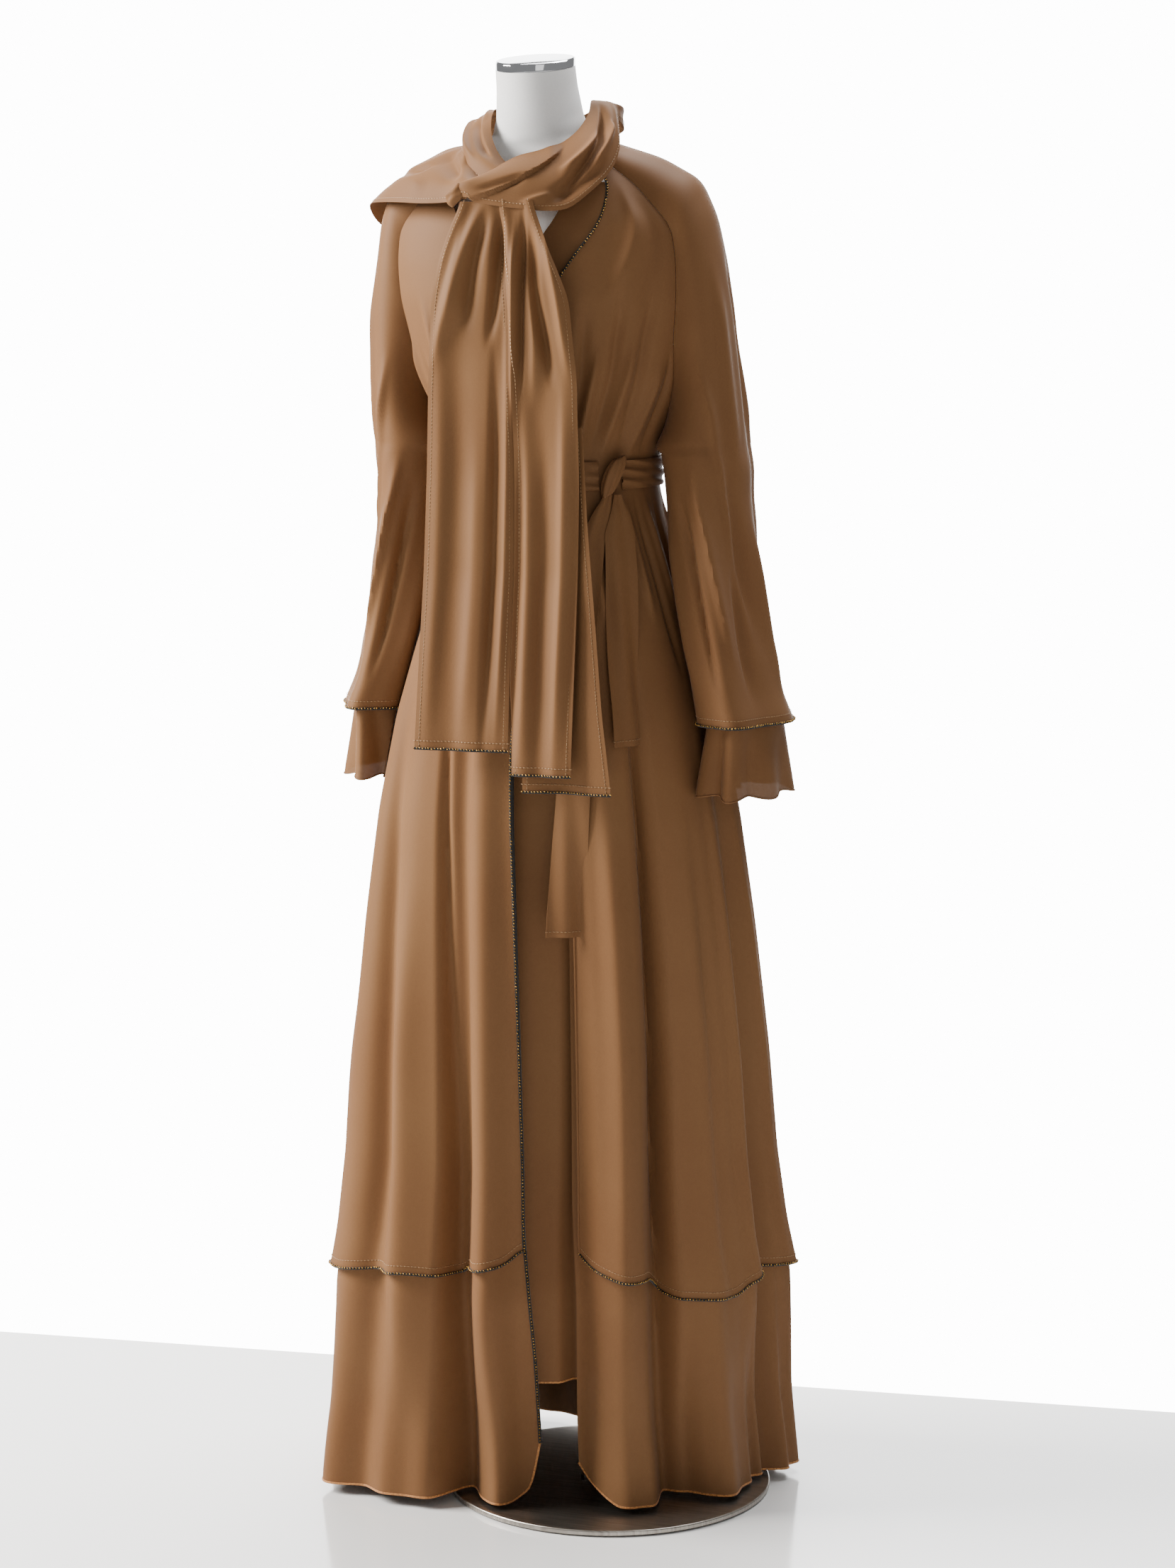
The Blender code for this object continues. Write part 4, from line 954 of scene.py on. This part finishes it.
def makeBelt():
    middleAngle = belt["knotAngle"]
    angles = np.linspace(middleAngle + belt["knotGap"], middleAngle + 360.0 - belt["knotGap"], belt["columns"])
    turn = turnBetween(angles, 0.0)
    grid = []
    for share in np.linspace(0.5, -0.5, belt["rows"]):
        z = belt["height"] + share * belt["width"] + 0.003 * np.sin(np.radians(angles - 30.0))
        under = lapRise(turn, z) * easeIn((turn + 36.0) / 28.0)
        crown = 0.0022 * math.cos(math.pi * share) ** 0.6 if abs(share) < 0.5 else 0.0
        # the band is wrung as it is tied: long slanting creases that crowd near the knot
        near = np.exp(-np.abs(turnBetween(angles, middleAngle)) / 42.0)
        wring = 0.0009 * np.sin(9.0 * share * 2.0 + np.radians(angles) * 5.0)
        wring = wring + 0.0016 * near * np.sin(16.0 * share + np.radians(angles) * 12.0)
        offset = under + 0.0026 + crown + np.maximum(wring, -0.0009)
        grid.append(bodyPoint(angles, z, offset, creased=0.0))
    grid = np.array(grid)
    band = clothShell("beltBand", grid, chiffon, belt["cloth"])
    keepPiece("belt_band")

    middle = bodyPoint(middleAngle, belt["height"], 0.0097, creased=0.0)
    sideways = unit(bodyPoint(middleAngle + 4, 1.10, creased=0.0)
                    - bodyPoint(middleAngle - 4, 1.10, creased=0.0))
    out = plainNormal(middleAngle, 1.10)
    t = 2.0 * math.pi * np.arange(belt["knotSides"]) / belt["knotSides"]
    points = []
    for i in range(belt["knotRings"]):
        share = i / (belt["knotRings"] - 1)
        rise = belt["knotTop"] - belt["knotLength"] * share
        grow = max(0.10, math.sin(math.pi * (0.05 + 0.90 * share))) ** 0.30
        # the wrap of cloth over the knot: bands that run across it on a slant
        wrap = 1.0 + 0.05 * np.sin(5.0 * share + 1.6 * np.sin(t + 0.6)) + 0.06 * np.sin(7.0 * t + 3.0 * share)
        across = (belt["knotWide"] - belt["knotNarrower"] * share) * grow * wrap * np.sin(t)
        along = belt["knotDeep"] * grow * wrap * np.cos(t)
        ring = middle + across[:, None] * sideways + along[:, None] * out
        ring = ring + (0.006 - 0.012 * share) * sideways
        ring[:, 2] += rise + 0.003 * np.sin(t)
        points.append(ring)
    knot = spunForm("beltKnot", points, chiffon, 60.0)
    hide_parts("belt_knot")

    for key, table, node, length in (
        ("beltTailFront", belt["frontTail"], "belt_tail_front", 0.27),
        ("beltTailSide", belt["sideTail"], "belt_tail_side", 0.47),
    ):
        grid = tailGrid(table)
        normals = gridNormals(grid)
        thing = clothShell(key, grid, chiffon, belt["cloth"], normals)
        stitches = stitchRow(key + "Stitches", *edgeFrame(grid, normals, "foot"), belt["tailStitchUp"])
        keepPiece(node)


makeBelt()
print("belt made")


# Matching scarf, wound round the neck and pinned towards the right shoulder
scarf = {
    "cloth": 0.0008,
    "crossing": {
        "angle": -28.4, "rings": 36, "sides": 48,
        "top": 0.0080, "length": 0.0190, "wide": 0.0105, "deep": 0.0055,
    },
    # angle, radius and height of the upper edge, radius and height of the lower edge
    "neckWrap": (
        (183, 0.0602, 1.4655, 0.0854, 1.442), (150, 0.058, 1.474, 0.086, 1.448),
        (120, 0.057, 1.482, 0.087, 1.456), (90, 0.056, 1.487, 0.080, 1.468),
        (76, 0.0575, 1.485, 0.092, 1.459), (66, 0.065, 1.474, 0.108, 1.433), (54, 0.070, 1.460, 0.117, 1.408),
        (45, 0.0725, 1.450, 0.1185, 1.393), (31, 0.0725, 1.438, 0.117, 1.371),
        (17, 0.072, 1.430, 0.1145, 1.370), (-2, 0.075, 1.424, 0.1145, 1.374),
        (-15, 0.086, 1.412, 0.1175, 1.378), (-25, 0.108, 1.396, 0.122, 1.383),
    ),
    "neckBack": (
        (-6, 0.080, 1.415, 0.100, 1.392), (-18, 0.074, 1.427, 0.098, 1.398),
        (-35, 0.0655, 1.445, 0.096, 1.408), (-52, 0.058, 1.463, 0.092, 1.420),
        (-70, 0.053, 1.475, 0.086, 1.434), (-90, 0.053, 1.479, 0.080, 1.450),
        (-125, 0.056, 1.478, 0.084, 1.4515), (-155, 0.058, 1.471, 0.085, 1.447),
        (-179, 0.060, 1.465, 0.086, 1.442),
    ),
    "shoulder": (
        (-22, 0.098, 1.402, 0.1220, 1.383), (-38, 0.078, 1.425, 0.125, 1.379),
        (-51, 0.069, 1.438, 0.138, 1.379), (-64, 0.067, 1.445, 0.153, 1.381),
        (-76, 0.069, 1.446, 0.176, 1.382), (-86, 0.072, 1.445, 0.194, 1.381),
        (-96, 0.079, 1.443, 0.198, 1.362), (-110, 0.082, 1.441, 0.196, 1.346),
        (-124, 0.087, 1.435, 0.186, 1.344), (-134, 0.096, 1.429, 0.175, 1.346),
    ),
    # soft folds that run along each band: angle and share down the band at both ends, half width, height
    "wrapFolds": (
        (78, 0.22, 12, 0.92, 0.085, -0.0075), (70, 0.55, 44, 0.70, 0.075, 0.0060),
        (56, 0.84, 20, 0.80, 0.070, -0.0050), (60, 0.36, 26, 0.50, 0.070, 0.0045),
        (34, 0.70, 4, 0.96, 0.060, 0.0040), (178, 0.30, 84, 0.24, 0.090, -0.0045),
        (178, 0.62, 84, 0.60, 0.090, 0.0040), (10, 0.52, -18, 0.80, 0.060, -0.0030),
    ),
    "backFolds": (
        (-18, 0.30, -80, 0.34, 0.090, -0.0045), (-30, 0.66, -100, 0.60, 0.090, 0.0040),
        (-176, 0.30, -90, 0.26, 0.100, -0.0040), (-176, 0.64, -100, 0.80, 0.080, -0.0035),
        (-60, 0.10, -120, 0.14, 0.060, 0.0030),
    ),
    "shoulderFolds": (
        (-30, 0.52, -74, 0.30, 0.120, -0.0060), (-50, 0.86, -86, 0.60, 0.120, 0.0035),
        (-38, 0.20, -66, 0.06, 0.070, 0.0050), (-62, 0.52, -92, 0.74, 0.090, -0.0050),
        (-74, 0.16, -120, 0.30, 0.120, 0.0040), (-90, 0.86, -128, 0.70, 0.110, -0.0045),
        (-96, 0.50, -134, 0.52, 0.110, 0.0035), (-112, 0.30, -134, 0.34, 0.070, -0.0030),
    ),
    # the stitched edge that laps over the rest of the wrap: the same columns
    "wrapLap": (36, 0.06, -21, 1.02, 0.022, 0.0040),
    # height, left edge, right edge, distance to the front, wave height
    "fallRight": (
        (1.380, -0.136, -0.096, -0.079, 0.001), (1.350, -0.149, -0.092, -0.083, 0.002),
        (1.320, -0.158, -0.088, -0.088, 0.003), (1.280, -0.165, -0.082, -0.092, 0.0015),
        (1.200, -0.168, -0.076, -0.094, 0.0015), (1.100, -0.169, -0.073, -0.098, 0.0015),
        (1.000, -0.170, -0.071, -0.106, 0.0015), (0.900, -0.170, -0.070, -0.1235, 0.0015),
        (0.818, -0.170, -0.068, -0.137, 0.0015),
    ),
    "fallLeft": (
        (1.381, -0.096, -0.060, -0.079, 0.001), (1.350, -0.091, -0.047, -0.083, 0.002),
        (1.320, -0.087, -0.032, -0.088, 0.003), (1.280, -0.0815, -0.015, -0.093, 0.0015),
        (1.200, -0.0755, -0.006, -0.095, 0.0015), (1.100, -0.0725, -0.003, -0.0985, 0.0015),
        (1.000, -0.0705, -0.002, -0.1065, 0.0015), (0.900, -0.0690, 0.000, -0.124, 0.0015),
        (0.795, -0.0620, 0.002, -0.141, 0.0015),
    ),
    "fallUnder": (
        (1.150, -0.060, -0.002, -0.0878, 0.003), (1.050, -0.058, 0.006, -0.0933, 0.004),
        (0.950, -0.056, 0.018, -0.1044, 0.004), (0.860, -0.054, 0.030, -0.1199, 0.004),
        (0.777, -0.052, 0.044, -0.1319, 0.004),
    ),
    # folds of the falls: place and height at the top, the same at the foot, half width, height, bow
    "fallCreases": (
        (-0.114, 1.385, -0.150, 1.230, 0.010, 0.0070, -0.004),
        (-0.104, 1.385, -0.128, 1.240, 0.008, -0.0080, -0.006),
        (-0.0925, 1.380, -0.104, 1.225, 0.0060, -0.0080, 0.003),
        (-0.128, 1.380, -0.164, 1.200, 0.008, 0.0045, 0.0),
        (-0.152, 1.280, -0.158, 0.780, 0.013, 0.0021, 0.002),
        (-0.134, 1.200, -0.146, 0.780, 0.013, -0.0028, -0.003),
        (-0.114, 1.170, -0.121, 0.780, 0.012, 0.0028, 0.003),
        (-0.095, 1.260, -0.096, 0.780, 0.006, -0.0070, 0.0),
        (-0.083, 1.360, -0.082, 0.780, 0.006, 0.0045, 0.002),
        (-0.0684, 1.385, -0.0672, 1.170, 0.0035, -0.0075, 0.0),
        (-0.077, 1.380, -0.074, 1.120, 0.0045, 0.0050, 0.0),
        (-0.0623, 1.370, -0.031, 1.185, 0.0060, -0.0100, -0.004),
        (-0.060, 1.350, -0.052, 1.160, 0.009, 0.0060, 0.004),
        (-0.050, 1.380, -0.012, 1.190, 0.008, 0.0060, 0.003),
        (-0.058, 1.160, -0.052, 0.760, 0.010, 0.0028, 0.002),
        (-0.040, 1.160, -0.034, 0.760, 0.009, -0.0035, -0.002),
        (-0.020, 1.230, -0.016, 0.760, 0.008, 0.0042, 0.0),
        (-0.067, 1.180, -0.063, 0.760, 0.005, -0.0042, 0.0),
        (-0.006, 1.180, -0.004, 0.800, 0.005, -0.0028, 0.0),
    ),
}


def foldLine(angles, share, fold):
    # how far each point of a band lies from a fold's line, and how strong the fold is there
    fromAngle, fromShare, toAngle, toShare = fold[:4]
    along = (angles - fromAngle) / (toAngle - fromAngle)
    line = fromShare + (toShare - fromShare) * along
    ends = np.clip(np.minimum(along, 1.0 - along) * 3.5, 0.0, 1.0)
    return share - line, easeIn(ends), along


def bandGrid(table, crown, columns, rows, folds, lap=None):
    angles = np.linspace(table[0][0], table[-1][0], columns)
    if table[0][0] > table[-1][0]:
        angles = angles[::-1]
    middleX, middleY = middleLine(1.44)
    t = np.radians(angles)
    grid = []
    for share in np.linspace(0.0, 1.0, rows):
        radius = lookUp(table, angles, 1, 5.0) * (1 - share) + lookUp(table, angles, 3, 5.0) * share
        z = lookUp(table, angles, 2, 5.0) * (1 - share) + lookUp(table, angles, 4, 5.0) * share
        swell = crown * math.sin(math.pi * share ** 1.15)
        edge = math.sin(math.pi * share) ** 0.4
        rise = np.zeros(columns)
        for fold in folds:
            away, strength, _ = foldLine(angles, share, fold)
            away = np.where(away > 0.0, away / 1.7, away) / fold[4]
            rise = rise + fold[5] * strength * np.exp(-1.6 * away * away)
        rise = rise * edge
        if lap:
            away, _, along = foldLine(angles, share, lap)
            ends = easeIn(along * 4.0) * easeIn((1.3 - along) * 3.0)
            rise = rise + lap[5] * easeIn(-away / lap[4] + 0.5) * ends
        reach = radius + 0.7 * swell + rise
        grid.append(np.stack([middleX + reach * np.sin(t), middleY - reach * np.cos(t) - 0.006,
                              z + 0.7 * swell + 0.8 * rise], axis=-1))
    return np.array(grid)


def fallGrid(table, columns, rows, waves, phase):
    share = np.linspace(0.0, 1.0, columns)
    grid = []
    for z in np.linspace(table[0][0], table[-1][0], rows):
        left, right, front, wave = lookUpAll(table, z, 0.012)
        bend = share + 0.05 * np.sin(2.0 * math.pi * (share + 0.7 * z))
        y = front - wave * np.sin(2.0 * math.pi * (waves * bend + phase))
        x = left + (right - left) * share
        y = y - creaseHeight(x, np.full(columns, z), scarf["fallCreases"], False)
        grid.append(np.stack([x, y, np.full(columns, z)], axis=-1))
    return np.array(grid)


def makeScarf():
    for key, node, crown, columns, rows, folds, size in (
        ("neckWrap", "scarf_neck_wrap", 0.010, 190, 70, "wrapFolds", (0.070, 0.36)),
        ("neckBack", "scarf_neck_back", 0.008, 120, 50, "backFolds", (0.055, 0.26)),
        ("shoulder", "scarf_shoulder", 0.011, 120, 70, "shoulderFolds", (0.115, 0.30)),
    ):
        lap = scarf["wrapLap"] if key == "neckWrap" else None
        grid = bandGrid(scarf[key], crown, columns, rows, scarf[folds], lap)
        key = "scarf" + key[0].upper() + key[1:]
        normals = gridNormals(grid)
        thing = clothShell(key, grid, chiffon, scarf["cloth"], normals)
        stitches = stitchRow(key + "Stitches", *edgeFrame(grid, normals, "foot"), trim["edgeStitchUp"])
        keepPiece(node)

    middleX, middleY = middleLine(1.40)
    t = math.radians(scarf["crossing"]["angle"])
    centre = np.array([middleX + 0.1275 * math.sin(t), middleY - 0.1250 * math.cos(t) - 0.006, 1.388])
    crossing = scarf["crossing"]
    around = 2.0 * math.pi * np.arange(crossing["sides"]) / crossing["sides"]
    points = []
    for i in range(crossing["rings"]):
        share = i / (crossing["rings"] - 1)
        rise = crossing["top"] - crossing["length"] * share
        grow = max(0.08, math.sin(math.pi * (0.05 + 0.90 * share))) ** 0.6
        ruck = 1.0 + 0.07 * np.sin(11.0 * share + 2.0 * np.sin(around))
        ruck = ruck + 0.04 * np.sin(5.0 * around + 4.0 * share)
        points.append(np.stack([centre[0] + crossing["wide"] * grow * ruck * np.sin(around),
                                centre[1] - crossing["deep"] * grow * ruck * np.cos(around),
                                centre[2] + rise + 0.003 * np.sin(around)], axis=-1))
    turnOver = spunForm("scarfCrossing", points, chiffon, 60.0)
    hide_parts("scarf_crossing")

    for key, node, columns, rows, waves, phase, size, carrier in (
        ("scarfFallRight", "scarf_fall_right", 110, 130, 1.7, 0.10, (0.11, 0.57), "scarfNeckWrap"),
        ("scarfFallLeft", "scarf_fall_left", 95, 130, 1.5, 0.05, (0.085, 0.59), "scarfNeckWrap"),
        ("scarfFallUnder", "scarf_fall_under", 40, 60, 1.0, 0.30, (0.085, 0.38), "scarfFallLeft"),
    ):
        grid = fallGrid(scarf[key.replace("scarfF", "f")], columns, rows, waves, phase)
        normals = gridNormals(grid)
        thing = clothShell(key, grid, chiffon, scarf["cloth"], normals)
        extras = hemTrim(key + "Hem", grid, normals)
        for side in ("low", "high"):
            stitches = stitchRow(key + side.title() + "Stitches", *edgeFrame(grid, normals, side),
                                 trim["edgeStitchUp"])
            extras.append(stitches)
        keepPiece(node)


makeScarf()
print("scarf made")


# Dress form and stand
form = {
    "sides": 96,
    "neckTilt": 0.19,
    # height, half width, half depth, shift to the front
    "sections": (
        (1.52, 0.0418, 0.0418, 0.02), (1.5, 0.0425, 0.0425, 0.0175), (1.47, 0.046, 0.045, 0.0125),
        (1.448, 0.054, 0.047, 0.007), (1.439, 0.0795, 0.048, 0.003), (1.4251, 0.1255, 0.052, 0.0),
        (1.4025, 0.1655, 0.061, 0.0), (1.3676, 0.18, 0.072, 0.0), (1.32, 0.16, 0.1059, 0.0),
        (1.282, 0.152, 0.1098, 0.0), (1.24, 0.13, 0.1098, 0.0), (1.2, 0.115, 0.105, 0.0),
        (1.16, 0.104, 0.099, 0.0), (1.1, 0.0985, 0.0888, 0.0), (1.04, 0.104, 0.09, 0.0),
        (0.96, 0.116, 0.095, 0.0), (0.88, 0.128, 0.102, 0.0), (0.815, 0.126, 0.099, 0.0),
        (0.8, 0.118, 0.092, 0.0),
    ),
}


def levelRing(x, y, z, halfWidth, halfDepth, sides, tilt=0.0):
    t = 2.0 * math.pi * np.arange(sides) / sides
    along = -halfDepth * np.cos(t)
    return np.stack([x + halfWidth * np.sin(t), y + along, z + along * tilt], axis=-1)


def makeForm():
    table = form["sections"]
    rings = []
    for z in np.concatenate([np.linspace(1.520, 1.424, 40), np.linspace(1.42, 0.800, 110)]):
        soften = 0.004 if z > 1.40 else 0.010
        soften = min(soften, max(0.0, 1.520 - z), max(0.0, z - 0.800))
        wide, deep, forward = lookUpAll(table, z, soften)
        x, y = middleLine(z)
        tilt = form["neckTilt"] * float(easeIn((z - 1.43) / 0.06))
        rings.append(levelRing(x, y - forward, z, wide, deep, form["sides"], tilt))
    body = spunForm("formCover", rings, whiteJersey)
    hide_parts("form_body")
    top, _, _, forward = table[0]
    x, y = middleLine(top)
    rings = [levelRing(x, y - forward, top + rise, radius, radius, 96, form["neckTilt"])
             for rise, radius in ((0.0092, 0.0396), (0.0091, 0.0404), (0.0086, 0.0412), (0.0078, 0.0417),
                                  (0.0010, 0.0418), (0.0005, 0.0416))]
    cap = spunForm("neckCap", rings, chromePlate, 25.0)
    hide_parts("neck_cap")


stand = {"plateRadius": 0.175, "plateThick": 0.006, "rim": 0.0018}


def makeStand():
    radius, thick, rim = stand["plateRadius"], stand["plateThick"], stand["rim"]
    profile = [(thick, radius - 0.0060)]
    for step in np.linspace(0.0, 1.0, 7):  # the rim is rolled over, which draws a bright line round it
        t = step * math.pi / 2.0
        profile.append((thick - rim * (1.0 - math.cos(t)), radius - rim * (1.0 - math.sin(t))))
    profile += [(0.0012, radius), (0.0, radius - 0.0012)]
    rings = [levelRing(0, 0, thick, r, r, 180) for r in (0.002, 0.08)]
    rings += [levelRing(0, 0, z, r, r, 180) for z, r in profile]
    plate = spunForm("basePlate", rings, brushedSteel, 30.0)
    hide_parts("base_plate")
    for node in ("stand_pole", "stand_flange", "flange_nut_1", "flange_nut_2", "flange_nut_3", "flange_nut_4"):
        thing = bpy.data.objects[node]
        thing.data.materials.clear()
        thing.data.materials.append(turnedSteel)


makeForm()
makeStand()
print("form and stand made")


# Floor and light: a glossy white platform in a white studio, key light high on the wearer's right
studio = {
    "floorColour": "#F3F3F2",
    "surroundShown": 14.0,   # how white the studio looks round the object
    "surroundLight": 0.27,  # how much of it reaches the cloth
    "keyPower": 460.0,
    "topPower": 110.0,
    "fillPower": 12.0,
    "cardStrength": 7.0,
    "rearEdge": ((-2.6, 0.97), (2.6, -0.20)),  # the platform's rear edge, seen as a faint line
}


def makeRoom():
    material, tree, shader = newMaterial("glossyWhiteFloor", {"Roughness": 0.13, "IOR": 1.5})
    place = addNode(tree, "ShaderNodeTexCoord")
    cloud = addNode(tree, "ShaderNodeTexNoise", {"Scale": 1.2, "Detail": 2.0}, [("Vector", place, "Object")])
    ramp = addNode(tree, "ShaderNodeValToRGB", {}, [("Fac", cloud, "Fac")])
    setStops(ramp, (0.0, "#ECECEB"), (1.0, studio["floorColour"]))
    tree.links.new(ramp.outputs["Color"], shader.inputs["Base Color"])
    turn = math.radians(photoView["turn"])
    left, right = studio["rearEdge"]
    outline = [left, right, (2.6, -4.2), (-2.6, -4.2)]
    points = []
    for z in (-0.001, -0.080):
        for across, along in outline:
            points.append((across * math.cos(turn) - along * math.sin(turn),
                           across * math.sin(turn) + along * math.cos(turn), z))
    faces = [(3, 2, 1, 0), (4, 5, 6, 7)] + [(i, (i + 1) % 4, (i + 1) % 4 + 4, i + 4) for i in range(4)]
    mesh = bpy.data.meshes.new("floor")
    mesh.from_pydata(points, [], faces)
    mesh.materials.append(material)
    floor = bpy.data.objects.new("floor", mesh)
    bpy.context.scene.collection.objects.link(floor)


def addLight(name, place, target, size, power, colour="#FFFFFF"):
    lamp = bpy.data.lights.new(name, "AREA")
    lamp.shape = "RECTANGLE"
    lamp.size, lamp.size_y = size
    lamp.energy = power
    lamp.color = linearColour(colour)[:3]
    thing = bpy.data.objects.new(name, lamp)
    thing.location = place
    thing.rotation_euler = (Vector(target) - Vector(place)).to_track_quat("-Z", "Y").to_euler()
    bpy.context.scene.collection.objects.link(thing)


def makeLight():
    world = bpy.data.worlds.new("studioAir")
    world.use_nodes = True
    tree = world.node_tree
    background = tree.nodes["Background"]
    background.inputs["Color"].default_value = (1.0, 1.0, 1.0, 1.0)
    seen = addNode(tree, "ShaderNodeLightPath")
    shown, lit = studio["surroundShown"], studio["surroundLight"]
    strength = addNode(tree, "ShaderNodeMath", {"operation": "MULTIPLY_ADD", 1: shown - lit, 2: lit},
                       [(0, seen, "Is Camera Ray")])
    tree.links.new(strength.outputs["Value"], background.inputs["Strength"])
    bpy.context.scene.world = world
    addLight("keySoftbox", (-3.2, -0.9, 2.7), (-0.05, 0.0, 0.9), (1.8, 2.2), studio["keyPower"], "#FFFBF6")
    addLight("topSoftbox", (0.2, 0.9, 3.3), (-0.05, 0.0, 1.2), (2.0, 1.2), studio["topPower"])
    addLight("fillSoftbox", (1.9, -3.2, 1.5), (0.0, 0.0, 0.8), (1.6, 2.2), studio["fillPower"], "#FFFDFA")
    addLight("rearCard", (-1.55, 4.75, 1.6), (-0.05, 0.0, 0.9), (5.0, 3.6), studio["cardStrength"] * 56.0)


makeRoom()
makeLight()
print("room made")
